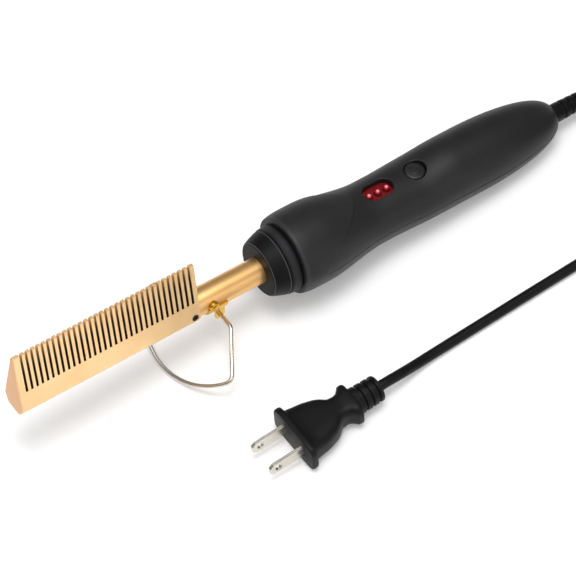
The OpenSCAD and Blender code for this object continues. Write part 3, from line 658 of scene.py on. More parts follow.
# Rolled brass blades under bright nickel plate: a cool silver with a trace of yellow.
BLADE_NICKEL = Surface(
    "nickel_plated_blade", "#d8d4ca", "#c6c2b7", metallic=1.0, roughness=0.26, grain=Grain.ALONG_X,
    grain_mm=0.4, grain_depth_mm=0.003,
)
MICA_TAPE = Surface("mica_tape", "#cfc5ad", "#b9ad92", roughness=0.5, grain_mm=0.8, grain_depth_mm=0.02)
GLASS_BRAID = Surface(
    "glass_braid", "#e2ddd0", "#d2ccbd", roughness=0.7, grain_mm=0.5, grain_depth_mm=0.04,
)
COPPER_BARE = Surface(
    "bare_copper", "#c08454", "#a86b3e", metallic=1.0, roughness=0.35, grain_mm=0.4, grain_depth_mm=0.004,
)
BOARD_LACQUER = Surface(
    "solder_resist", "#1f5a3a", "#1a4e32", roughness=0.3, grain_mm=1.2, grain_depth_mm=0.01,
)
FILM_CASE = Surface(
    "film_capacitor_case", "#8a5f22", "#7a521b", roughness=0.4, grain_mm=0.6, grain_depth_mm=0.01,
)
EPOXY_CASE = Surface("epoxy_case", "#202022", "#2a2a2c", roughness=0.5, grain_mm=0.4, grain_depth_mm=0.01)
# The lens glows faintly: painted light standing in for the lit lamps' light spreading through it.
LENS_PC = Surface(
    "tinted_polycarbonate", "#8a0c16", "#7a0911", roughness=0.3, roughness_play=0.04, grain_mm=2.0,
    grain_depth_mm=0.002, ior=1.585, specular=0.15, transmission=0.5, glow=0.1,
)


def comb_axes(tree: Tree, place: Placement) -> Node:
    """Turns Object coordinates back into the comb's own axes, and splits them."""
    c, s = math.cos(place.pitch), math.sin(place.pitch)
    shift, lift = place.shift * MM, place.lift * MM
    comb = add_node(tree, "Mapping", {}, {
        "Vector": object_coordinates(tree),
        "Rotation": (0, -place.pitch, 0),
        "Location": (s * lift - c * shift, 0, -s * shift - c * lift),
    })
    return add_node(tree, "SeparateXYZ", {}, {0: comb.outputs[0]})


@dataclass(frozen=True)
class PaintedEdgeHighlights:
    """A finish with painted highlights: thin paler rings round the comb's axis along its turned edges."""

    finish: Surface
    place: Placement
    rings: tuple[tuple[float, float, str], ...]
    core: float = 0.3

    def build(self) -> Material:
        """Makes the finish and lays the painted highlight rings (place, half width, colour) over its colour.

        A ring is full over the core share of its half width and fades out to its edge.
        """
        material = self.finish.build()
        tree = material.node_tree
        shader = tree.nodes["Principled BSDF"]
        along = comb_axes(tree, self.place).outputs["X"]
        colour = shader.inputs["Base Color"].links[0].from_socket
        for x, half, highlight_colour in self.rings:
            away = calculate(tree, "ABSOLUTE", calculate(tree, "SUBTRACT", along, x * MM))
            share = map_range(tree, away, half * MM, self.core * half * MM)
            colour = lay_over(tree, share, colour, linear(highlight_colour))
        set_inputs(tree, shader, {"Base Color": colour})
        return material


@dataclass(frozen=True)
class PaintedSlotShade:
    """The head's plate with the brown film that hot hair oil leaves in its sawn slots.

    A slot wall is found from the distance to the nearest slot's middle, which the place
    along the comb gives by going back and forth between 0 and half a pitch. The painted
    shade covers the walls from the slots' floor to the tips, and near the tips it turns
    to a paler amber painted light. The front face and the bar's bottom edges get painted
    shade too.
    """

    plate: Surface
    place: Placement
    # Painted shade on the front face, for the darker surroundings that it faces.
    front_face_shade: str = "#dcae84"
    front_shade_range: tuple[float, float] = (1.0, 0.05)
    # Painted shade along the bar's two bottom edges.
    base_edge_shade: str = "#b08a62"
    base_z: float = -6.15
    base_shade_range: tuple[float, float] = (0.8, 0.15)
    # Painted shade down the slot walls, and paler amber painted light near the tips.
    slot_shade: str = "#120a05"
    tip_light: str = "#d09a48"
    tip_light_from: float = 2.5
    tip_light_mm: float = 5.0
    first: float = 4.1
    pitch: float = 2.46
    count: int = 33
    half_width: float = 0.5
    wall_range: tuple[float, float] = (0.1, -0.02)
    floor_z: float = 8.0
    floor_range: tuple[float, float] = (-0.15, -0.05)
    tip_z: float = 26.7
    tip_fade: float = 0.8

    def build(self) -> Material:
        """Makes the plate and lays the film over its colour.

        Each range is the start and end of a fade, measured from the place it is named
        for, in millimetres.
        """
        material = self.plate.build()
        tree = material.node_tree
        shader = tree.nodes["Principled BSDF"]
        axes = comb_axes(tree, self.place)
        x, z = axes.outputs["X"], axes.outputs["Z"]

        def fade(value: Socket, middle: float, ends: tuple[float, float]) -> Socket:
            """Rises from 0 to 1 between two places beside a middle one."""
            return map_range(tree, value, *((middle + end) * MM for end in ends))

        # Where the slot walls take painted shade.
        along = calculate(tree, "SUBTRACT", x, self.first * MM)
        away = calculate(tree, "PINGPONG", along, self.pitch * MM / 2)
        reach = self.pitch * MM * self.count / 2
        share = fade(away, self.half_width, self.wall_range)
        for limit in (
            calculate(tree, "COMPARE", along, reach - self.pitch * MM / 2, reach),
            fade(z, self.floor_z, self.floor_range),
            fade(z, self.tip_z, (self.tip_fade, 0.0)),
        ):
            share = calculate(tree, "MULTIPLY", share, limit)
        # The painted shade turns to a paler amber painted light near the tips.
        depth = fade(z, self.tip_z - self.tip_light_from, (0.0, -self.tip_light_mm))
        slot_shade = ramp(tree, depth, [(0.0, self.tip_light), (1.0, self.slot_shade)])
        bare = shader.inputs["Base Color"].links[0].from_socket
        # Painted shade along the bar's bottom edges.
        bare = lay_over(tree, fade(z, self.base_z, self.base_shade_range), bare, linear(self.base_edge_shade))
        # Painted shade on the front face.
        bare = lay_over(tree, fade(x, 0.0, self.front_shade_range), bare, linear(self.front_face_shade))
        set_inputs(tree, shader, {"Base Color": lay_over(tree, share, bare, slot_shade)})
        return material


@dataclass(frozen=True)
class GlowingLamp:
    """A lit red lamp: the middle of its dome glows pale pink, its rim deep red.

    The glow falls off with the distance from a point just under the top of the dome.
    """

    name: str
    centre: tuple[float, float, float]
    hot_mm: float = 0.4
    rim_mm: float = 1.5
    base: str = "#46060c"
    stops: tuple[tuple[float, str], ...] = (
        (0.0, "#f7aab2"), (0.25, "#d8505c"), (0.5, "#8c121c"), (1.0, "#46060c"),
    )

    def build(self) -> Material:
        """Makes the lamp's material."""
        material, tree, shader = new_material(self.name)
        points = {0: object_coordinates(tree), 1: self.centre}
        away = add_node(tree, "VectorMath", {"operation": "DISTANCE"}, points).outputs["Value"]
        share = map_range(tree, away, self.hot_mm * MM, self.rim_mm * MM)
        set_inputs(tree, shader, {
            "Base Color": linear(self.base),
            "Emission Color": ramp(tree, share, self.stops),
            "Emission Strength": 0.95,
            "Roughness": 0.15,
        })
        return material


# ---------------------------------------------------------------- head, neck and stand


@dataclass
class Head:
    """The slotted brass bar and the screw that clamps it on the neck tube."""

    place: Placement
    edge_mm: float = 0.12
    screw_edge_mm: float = 0.1
    rim_mm: float = 1.0
    base_share: float = 0.7
    near: float = 0.05
    long_edge: float = 5.0

    def round_rims(self, bar: Piece) -> None:
        """Rounds the rim of the front face, and a little less the two long bottom edges."""
        mesh = bar.data
        flat = np.empty(3 * len(mesh.vertices))
        mesh.vertices.foreach_get("co", flat)
        corners = np.array([edge.vertices[:] for edge in mesh.edges])
        ends = self.place.undo(flat.reshape(-1, 3))[corners]
        x, z = ends[..., 0], ends[..., 2]
        rim = (x < self.near).all(axis=1)
        base = (z < z.min() + self.near).all(axis=1) & (np.ptp(x, axis=1) > self.long_edge)
        weight = mesh.attributes.new("bevel_weight_edge", "FLOAT", "EDGE")
        weight.data.foreach_set("value", np.where(rim, 1.0, np.where(base, self.base_share, 0.0)))
        wide = bar.modifiers.new("rims", "BEVEL")
        wide.width, wide.segments, wide.limit_method = self.rim_mm * MM, 4, "WEIGHT"
        wide.harden_normals = True

    def build(self) -> None:
        """Rounds the bar's sawn edges slightly and dresses both pieces."""
        bar = cad_copy("comb_head", "head_bar")
        self.round_rims(bar)
        soften(bar, self.edge_mm)
        # The plate gets painted shade in its slots, on its front face and along its bottom edges.
        finish_piece(bar, Body.COMB, PaintedSlotShade(HEAD_PLATE, self.place).build(), ["comb_head"])
        dress_copy("head_grub_screw", "head_screw", self.screw_edge_mm, DARK_STEEL.build())


@dataclass
class Neck:
    """The gold tube between head and handle, with the strap that carries the stand."""

    place: Placement
    front_x: float = 85.4
    rear_x: float = 146.1
    radius: float = 5.75
    bore: float = 3.8
    spigot_len: float = 11.95
    spigot_radius: float = 4.7
    edge_mm: float = 0.18

    def build(self) -> None:
        """Turns the tube and softens the strap and its rivets."""
        start = self.front_x - self.spigot_len
        profile = rounded([
            (start, self.bore, 0), (start, self.spigot_radius, 0.2), (self.front_x, self.spigot_radius, 0),
            (self.front_x, self.radius, 0.3), (self.rear_x, self.radius, 0.3), (self.rear_x, self.bore, 0),
        ])
        tube = sharpen(lathe("neck_pipe", profile, self.place), 50)
        finish_piece(tube, Body.COMB, TUBE_PLATE.build(), ["neck_tube"])
        dress_copy("stand_bracket", "stand_strap", self.edge_mm, STRAP_BRASS.build())
        rivets = cad_copy("bracket_rivets", "strap_rivets", 50)
        finish_piece(rivets, Body.COMB, STRAP_BRASS.build(), ["bracket_rivets"])


@dataclass
class Stand:
    """The bent wire: two pins in the strap's ears, two legs and a round foot.

    The wire lies in one plane. Across the comb it is y, and r is the distance from the
    pivot, so a point of it is (pivot_x - r sin lean, y, pivot_z - r cos lean).
    """

    place: Placement
    pivot: tuple[float, float] = PIVOT
    lean: float = 52.46
    radius: float = 0.95
    pin_start: float = 3.0
    shoulder_y: float = 12.2
    shoulder_r: float = 4.0
    slope: float = 38.5
    corner_r: float = 3.4
    foot_r: float = 33.6
    reach: float = 32.8
    sides: int = 24

    def arc(self, centre: Grid, r: float, start: float, end: float, steps: int) -> Grid:
        """Points of a circular arc, between two angles in degrees."""
        a = np.radians(np.linspace(start, end, steps))
        return centre + r * np.stack([np.cos(a), np.sin(a)], axis=-1)

    def half(self) -> Grid:
        """Works out one half of the wire's centre line, from pin to foot.

        The leg leaves the pin through an arc, runs straight at its slope, and meets the
        foot's big circle through a fillet, whose centre lies corner_r off the leg and
        foot_r - corner_r from the big circle's centre.

        Returns:
            Points (y, r), one a row.
        """
        s = math.radians(self.slope)
        leg, side = np.array([math.cos(s), math.sin(s)]), np.array([-math.sin(s), math.cos(s)])
        foot = np.array([0.0, self.reach - self.foot_r])
        trim = self.shoulder_r * math.tan(s / 2)
        corner = np.array([self.shoulder_y, 0.0])
        q = corner + self.corner_r * side - foot
        b = q @ leg
        run = -b + math.sqrt(b * b - q @ q + (self.foot_r - self.corner_r) ** 2)
        centre = corner + run * leg + self.corner_r * side
        lift = math.degrees(math.atan2(centre[1] - foot[1], centre[0]))
        shoulder = np.array([self.shoulder_y - trim, self.shoulder_r])
        straight = np.linspace(corner + trim * leg, corner + run * leg, 8)[1:-1]
        return np.vstack([
            np.linspace([self.pin_start, 0.0], [self.shoulder_y - trim, 0.0], 5)[:-1],
            self.arc(shoulder, self.shoulder_r, -90, self.slope - 90, 12),
            straight,
            self.arc(centre, self.corner_r, self.slope - 90, lift, 14),
            self.arc(foot, self.foot_r, lift, 90, 40)[1:],
        ])

    def build(self) -> None:
        """Sweeps the wire and dresses it."""
        half = self.half()
        flat = np.vstack([half, (half * [-1, 1])[-2::-1]])
        t = math.radians(self.lean)
        y, r = flat[:, 0], flat[:, 1]
        path = np.stack([self.pivot[0] - r * math.sin(t), y, self.pivot[1] - r * math.cos(t)], axis=-1)
        wire = skin("stand_bow", tube_grid(self.place(path), self.radius * MM, self.sides))
        finish_piece(sharpen(wire), Body.STAND, WIRE_STEEL.build(), ["stand_wire"])


# ---------------------------------------------------------------- handle


def smooth_step(x: Grid, a: float, b: float) -> Grid:
    """Rises from 0 at a to 1 at b, level at both ends."""
    s = np.clip((x - a) / (b - a), 0, 1)
    return s * s * (3 - 2 * s)


def edge_inset(distance: Grid, radius: float) -> Grid:
    """How far a quarter-round edge falls back at a distance from the edge."""
    left = np.clip(radius - distance, 0, radius)
    return radius - np.sqrt(radius**2 - left**2)


@dataclass(frozen=True)
class Outline:
    """The handle's outline along its length, measured from its front edge.

    Each of half width, height and depth goes smoothly from the front bulge to the waist
    and on to the tail bulge, and the tail closes like a flattened circle:
    share = (1 - u squared) to a power, with u from 0 to 1 along the tail.
    """

    front_x: float = 130.6
    length: float = 139.0
    front_r: float = 17.7
    waist_w: float = 14.4
    waist_top: float = 12.3
    waist_low: float = 14.6
    tail_r: float = 15.15
    tail_low: float = 14.4
    tail_at: float = 94.0
    tail_reach: float = 46.5
    tail_power: float = 0.35
    nose_drop: float = 0.8
    nose_len: float = 7.0
    # Where the front bulge ends, the waist begins and ends, and the tail bulge begins.
    width_bends: tuple[float, float, float, float] = (13.0, 43.0, 48.0, 68.0)
    top_bends: tuple[float, float, float, float] = (13.0, 45.0, 63.0, 85.0)
    low_bends: tuple[float, float, float, float] = (13.0, 43.0, 66.0, 90.0)

    def blend(self, x: Grid, waist: float, tail: float, a: float, b: float, c: float, d: float) -> Grid:
        """Blends front bulge, waist and tail bulge at the places a to d."""
        base = self.front_r + (waist - self.front_r) * smooth_step(x, a, b)
        base = base + (tail - base) * smooth_step(x, c, d)
        nose = self.nose_drop * np.clip(1 - x / self.nose_len, 0, 1) ** 2
        u = np.clip((x - self.tail_at) / self.tail_reach, 0, 1)
        return (base - nose) * np.clip(1 - u**2, 0, 1) ** self.tail_power

    def half_w(self, x: Grid) -> Grid:
        """Half width at x."""
        return self.blend(x, self.waist_w, self.tail_r, *self.width_bends)

    def top(self, x: Grid) -> Grid:
        """Height over the axis at x."""
        return self.blend(x, self.waist_top, self.tail_r, *self.top_bends)

    def low(self, x: Grid) -> Grid:
        """Depth below the axis at x."""
        return self.blend(x, self.waist_low, self.tail_low, *self.low_bends)

    def surface_z(self, x: Grid, y: Grid) -> Grid:
        """Height of the upper skin over the axis at (x, y)."""
        return self.top(x) * np.sqrt(np.clip(1 - (y / self.half_w(x)) ** 2, 0, 1))


def even_ends(count: int, power: float = 1.6) -> Grid:
    """Numbers from 0 to 1 that lie closer together at both ends."""
    t = np.linspace(-1, 1, count)
    return 0.5 + 0.5 * np.sign(t) * (1 - (1 - np.abs(t)) ** power)


@dataclass
class Handle:
    """Collar, cover, shells, lamp window, button and boot."""

    place: Placement
    outline: Outline = field(default_factory=Outline)
    wall: float = 2.0
    lip_r: float = 13.85
    lip_end: float = 3.1
    tail_lip: float = 4.4
    tail_lip_r: float = 4.4
    cover_len: float = 34.0
    cover_sweep: float = 24.0
    cover_step: float = 0.5
    seam_edge: float = 0.35
    joint_gap: float = 0.12
    rows: int = 150
    arc_points: int = 60
    button_x: float = 66.3
    button_hole: float = 4.8
    window_x: float = 47.3
    window: tuple[float, float] = (14.1, 8.7)
    well_depth: float = 4.75
    lamp_pitch: float = 4.4
    rim: float = 0.5
    cutter_low: float = 4.0
    cutter_over: float = 4.0
    lens_edge: float = 0.1
    lamp_base: float = 2.4
    lamp_top: float = 11.1
    lamp_r: float = 1.5
    lamp_foot_r: float = 1.7
    glow_drop: float = 0.3
    collar_x: float = 118.1
    collar_bore: float = 5.8
    seam_gap: float = 0.03
    button_r: float = 4.5
    button_dome: float = 0.5
    button_drop: float = 0.3
    button_rim: float = 0.35
    mark_r: float = 2.1
    mark_bar: tuple[float, float] = (0.7, 2.7)
    mark_wire: float = 0.2
    boot_root: float = 4.3
    boot_tip: float = 3.3
    boot_len: float = 32.0
    boot_smooth: float = 5.0
    boot_ribs: int = 7
    boot_bore: float = 2.25

    def angles(self) -> Grid:
        """Angles across a half shell, from seam to seam, closer together at the seams."""
        return np.pi * even_ends(self.arc_points, 2.0)[None, :]

    def cover_edge(self, a: Grid) -> Grid:
        """Where the cover ends: a parabola in plan, x = length - sweep cos squared."""
        return self.cover_len - self.cover_sweep * np.cos(a) ** 2

    def half_skin(
        self, name: str, start: Grid, end: Grid, lower: bool, grow: float, front: float, back: float
    ) -> Piece:
        """Makes a half shell as a closed wall between two skins.

        The outer skin is (x, w cos a, h sin a), with the outline's half width w and
        height or depth h at x, grown a little and rounded off towards the seam, the
        front and the back. The inner skin lies one wall inside it, or on a lip's circle
        where the collar or the boot is gripped.

        Args:
            name: the piece's name.
            start: where each angle's line starts, from the handle's front edge.
            end: where it ends.
            lower: whether this is the lower half.
            grow: how far the outer skin stands over the outline.
            front: radius of the front edge.
            back: radius of the back edge.

        Returns:
            The piece.
        """
        a = self.angles()
        start, end = np.broadcast_to(start, a.shape), np.broadcast_to(end, a.shape)
        x = start + (end - start) * even_ends(self.rows)[:, None]
        height = self.outline.low if lower else self.outline.top
        over_seam = edge_inset(height(x) * np.sin(a), self.seam_edge)
        out = grow - edge_inset(x - start, front) - edge_inset(end - x, back) - over_seam
        at_tail = x > self.outline.length - self.tail_lip
        lip = np.where(x < self.lip_end, self.lip_r, np.where(at_tail, self.tail_lip_r, 0))
        iw = np.where(lip > 0, lip, self.outline.half_w(x) - self.wall)
        ih = np.where(lip > 0, lip, height(x) - self.wall)
        sign = -1.0 if lower else 1.0
        outer, inner = (
            np.stack([x, w * np.cos(a), sign * np.maximum(h * np.sin(a), self.seam_gap)], axis=-1)
            for w, h in ((self.outline.half_w(x) + out, height(x) + out), (iw, ih))
        )
        loop = np.concatenate([outer, inner[:, ::-1]], axis=1) + [self.outline.front_x, 0, 0]
        cols = loop.shape[1]
        faces = grid_faces(self.rows, cols).tolist()
        half = cols // 2
        for row, flip in ((0, True), (self.rows - 1, False)):
            k = np.arange(half - 1)
            quads = row * cols + np.stack([k, k + 1, cols - 2 - k, cols - 1 - k], axis=-1)
            faces += (quads[:, ::-1] if flip else quads).tolist()
        return outward(new_object(name, self.place(loop), faces))

    def open_top(self, shell: Piece, centre: float, length: float, width: float) -> None:
        """Cuts an opening down through the upper shell with an upright prism."""
        plan = self.ring_outline(centre, length, width, self.rim)
        levels = (self.cutter_low, self.outline.waist_top + self.cutter_over)
        rings = np.stack([np.column_stack([plan, np.full(len(plan), z)]) for z in levels])
        cut(shell, skin("cutter", self.place(rings)))

    def ring_outline(self, centre: float, length: float, width: float, grow: float) -> Grid:
        """Outline of a slot with round ends, grown by some millimetres.

        The outline is a circle of the slot's half width whose halves are drawn apart
        along x. A slot as long as it is wide is a circle.
        """
        count = 96
        a = np.linspace(0, 2 * np.pi, count, endpoint=False) + np.pi / count
        shift = (length - width) / 2 * np.sign(np.cos(a))
        r = width / 2 + grow
        return np.stack([self.outline.front_x + centre + shift + r * np.cos(a), r * np.sin(a)], axis=-1)

    def rim_ring(self, name: str, centre: float, length: float, width: float, depth: float) -> Piece:
        """Makes the rounded edge round an opening in the upper shell.

        A quarter-round section is carried round the opening, and its top follows the
        shell's skin: each ring's height is the skin's at that ring, less the rounding.

        Args:
            name: the piece's name.
            centre: the opening's place from the handle's front edge.
            length: the opening's length.
            width: its width.
            depth: how far the ring goes down.

        Returns:
            The piece.
        """
        t = np.linspace(0, np.pi / 2, 7)
        grows = np.concatenate([self.rim * (1 - np.cos(t[::-1])), [0.0, self.rim]])
        drops = np.concatenate([self.rim * (1 - np.sin(t[::-1])), [depth, depth]])
        rings = []
        for grow, drop in zip(grows, drops):
            plan = self.ring_outline(centre, length, width, grow)
            z = self.outline.surface_z(plan[:, 0] - self.outline.front_x, plan[:, 1]) - drop
            rings.append(np.column_stack([plan, z]))
        return through_rings(name, self.place(np.array(rings)), wrap_rows=True)

    def build_shells(self) -> None:
        """Makes the cover and the two shells, and opens the upper one."""
        edge = self.cover_edge(self.angles())
        end = self.outline.length
        cover = self.half_skin("nose_cover", 0.0, edge - self.joint_gap, False, self.cover_step, 0.6, 0.45)
        # Painted highlight: a paler ring along the cover's front lip.
        nylon = PaintedEdgeHighlights(COVER_NYLON, self.place, ((self.outline.front_x + 1.0, 1.1, "#2c2c2e"),)).build()
        finish_piece(sharpen(cover, 40), Body.COMB, nylon, ["front_cover"])
        lower = self.half_skin("handle_underside", 0.0, end, True, 0.0, 0.6, 0.5)
        finish_piece(sharpen(lower, 40), Body.COMB, SHELL_NYLON.build(), ["lower_shell"])
        upper = self.half_skin("handle_top", edge, end, False, 0.0, 0.15, 0.5)
        circle = 2 * self.button_hole
        self.open_top(upper, self.button_x, circle, circle)
        self.open_top(upper, self.window_x, *self.window)
        finish_piece(sharpen(upper, 40), Body.COMB, SHELL_NYLON.build(), ["upper_shell"])
        rims = (
            self.rim_ring("button_rim", self.button_x, circle, circle, self.wall),
            self.rim_ring("window_rim", self.window_x, *self.window, self.well_depth),
        )
        for ring in rims:
            finish_piece(sharpen(ring, 50), Body.COMB, SHELL_NYLON.build())

    def build_collar(self) -> None:
        """Turns the collar: a flared cone, a thin bead, a neck and the gripped groove."""
        x0, seam = self.collar_x, self.outline.front_x
        profile = rounded([
            (x0, self.collar_bore, 0), (x0, 11.5, 0.25), (x0 + 0.55, 12.3, 0.5), (x0 + 2.9, 13.2, 1.2),
            (x0 + 6.6, 14.45, 0.8), (x0 + 7.0, 14.05, 0.1), (x0 + 7.35, 14.05, 0.1), (x0 + 7.7, 14.75, 0.3),
            (x0 + 9.4, 14.8, 0.3), (x0 + 9.8, 15.1, 0.3), (seam - 0.55, 15.1, 0.4), (seam - 0.5, 13.7, 0.1),
            (seam + 3.4, 13.7, 0), (seam + 3.4, 15.3, 0), (seam + 6.0, 15.3, 0),
            (seam + 6.0, self.collar_bore, 0),
        ])
        collar = sharpen(lathe("nose_ring", profile, self.place, 128), 32)
        # Painted highlights: thin paler rings on the collar's front rim and bead, and a broad one on its
        # neck.
        rings = ((x0 + 0.4, 0.24, "#454547"), (x0 + 6.6, 0.24, "#545456"), (x0 + 9.4, 2.2, "#29292b"))
        resin = PaintedEdgeHighlights(COLLAR_RESIN, self.place, rings).build()
        finish_piece(collar, Body.COMB, resin, ["nose_collar"])

    def build_window(self) -> None:
        """Dresses the lens and makes the three lit lamps that stand up through it."""
        dress_copy("window_lens", "lamp_lens", self.lens_edge, LENS_PC.build())
        x = self.outline.front_x + self.window_x
        t = np.radians(np.linspace(0, 90, 10))
        base, top, r, foot = self.lamp_base, self.lamp_top, self.lamp_r, self.lamp_foot_r
        dome = np.column_stack([top - r + r * np.sin(t), r * np.cos(t)])
        profile = np.vstack([[[base, 0], [base, foot], [base + 1, foot], [base + 1, r]], dome])
        profile[-1, 1] = 0
        for i, name in enumerate(("lamp_front", "lamp_middle", "lamp_rear")):
            centre = np.array([x + (i - 1) * self.lamp_pitch, 0, top - self.glow_drop])
            lamp = self.upright(name, profile, centre[0])
            glow = GlowingLamp("glow_" + name, tuple(self.place(centre).tolist())).build()
            finish_piece(lamp, Body.COMB, glow, ["indicator_lamps"] if i == 1 else ())

    def upright(self, name: str, profile: Grid, x: float, segments: int = 64) -> Piece:
        """Turns a profile of (height, radius) round an upright line at x."""
        a = np.linspace(0, 2 * np.pi, segments, endpoint=False)
        z = np.repeat(profile[:, :1], segments, axis=1)
        r = profile[:, 1:]
        grid = np.stack([x + r * np.cos(a), r * np.sin(a), z], axis=-1)
        return sharpen(through_rings(name, self.place(grid), wrap_rows=False), 40)

    def build_button(self) -> None:
        """Makes the button with a domed top, and a raised ring and bar on it."""
        x = self.outline.front_x + self.button_x
        top = float(self.outline.top(np.array(self.button_x))) - self.button_drop
        r, dome = self.button_r, self.button_dome
        ball = (r * r + dome * dome) / (2 * dome)
        t = np.linspace(1, 0, 14)
        reach = r - self.button_rim
        crown = np.column_stack([top - ball + np.sqrt(ball**2 - (reach * t) ** 2), reach * t])
        stem = rounded([
            (7.4, 0.0, 0), (7.4, 2.0, 0.1), (8.1, 2.0, 0), (8.1, 5.4, 0.1), (9.0, 5.4, 0.1), (9.0, r, 0),
            (crown[0, 0] - 0.3, r, 0.3), (crown[0, 0], reach, 0),
        ])
        button = self.upright("press_button", np.vstack([stem[:-1], crown]), x)
        finish_piece(button, Body.BUTTON, BUTTON_ABS.build(), ["power_button"])
        a = np.radians(np.linspace(125, 415, 60))
        ring = np.stack([x - self.mark_r * np.sin(a), self.mark_r * np.cos(a)], axis=-1)
        bar = np.column_stack([x + np.linspace(*self.mark_bar, 10), np.zeros(10)])
        for name, plan in (("press_ring", ring), ("press_bar", bar)):
            away = np.hypot(plan[:, 0] - x, plan[:, 1])
            z = top - ball + np.sqrt(ball**2 - away**2)
            mark = skin(name, tube_grid(self.place(np.column_stack([plan, z])), self.mark_wire * MM, 10))
            finish_piece(sharpen(mark), Body.BUTTON, BUTTON_ABS.build())

    def build_boot(self) -> None:
        """Turns the tapering boot with its grooves."""
        tail, bore = self.outline.front_x + self.outline.length, self.boot_bore
        root, tip, ribs, end = self.boot_root, self.boot_tip, self.boot_ribs, tail + self.boot_len
        rib = (self.boot_len - self.boot_smooth - 1) / ribs
        flange = tail - self.tail_lip - 0.1
        corners = [
            (flange - 2.5, bore, 0), (flange - 2.5, root + 1.4, 0.2), (flange - 0.2, root + 1.4, 0.1),
            (flange - 0.2, root, 0),
        ]
        for i in range(ribs):
            a, r = tail + self.boot_smooth + i * rib, root + (tip - root) * (i + 0.5) / ribs
            corners += [(a, r, 0.25), (a + 0.15, r - 0.7, 0.1), (a + 1.05, r - 0.7, 0.1), (a + 1.2, r, 0.25)]
        corners += [(end - 0.5, tip, 0.3), (end, tip - 0.4, 0.1), (end, bore, 0)]
        boot = sharpen(lathe("cord_boot", rounded(corners), self.place, 64), 40)
        finish_piece(boot, Body.COMB, CORD_PVC.build(), ["strain_relief"])

    def build(self) -> None:
        """Builds every piece of the handle."""
        self.build_collar()
        self.build_shells()
        self.build_window()
        self.build_button()
        self.build_boot()


# ---------------------------------------------------------------- cord and plug


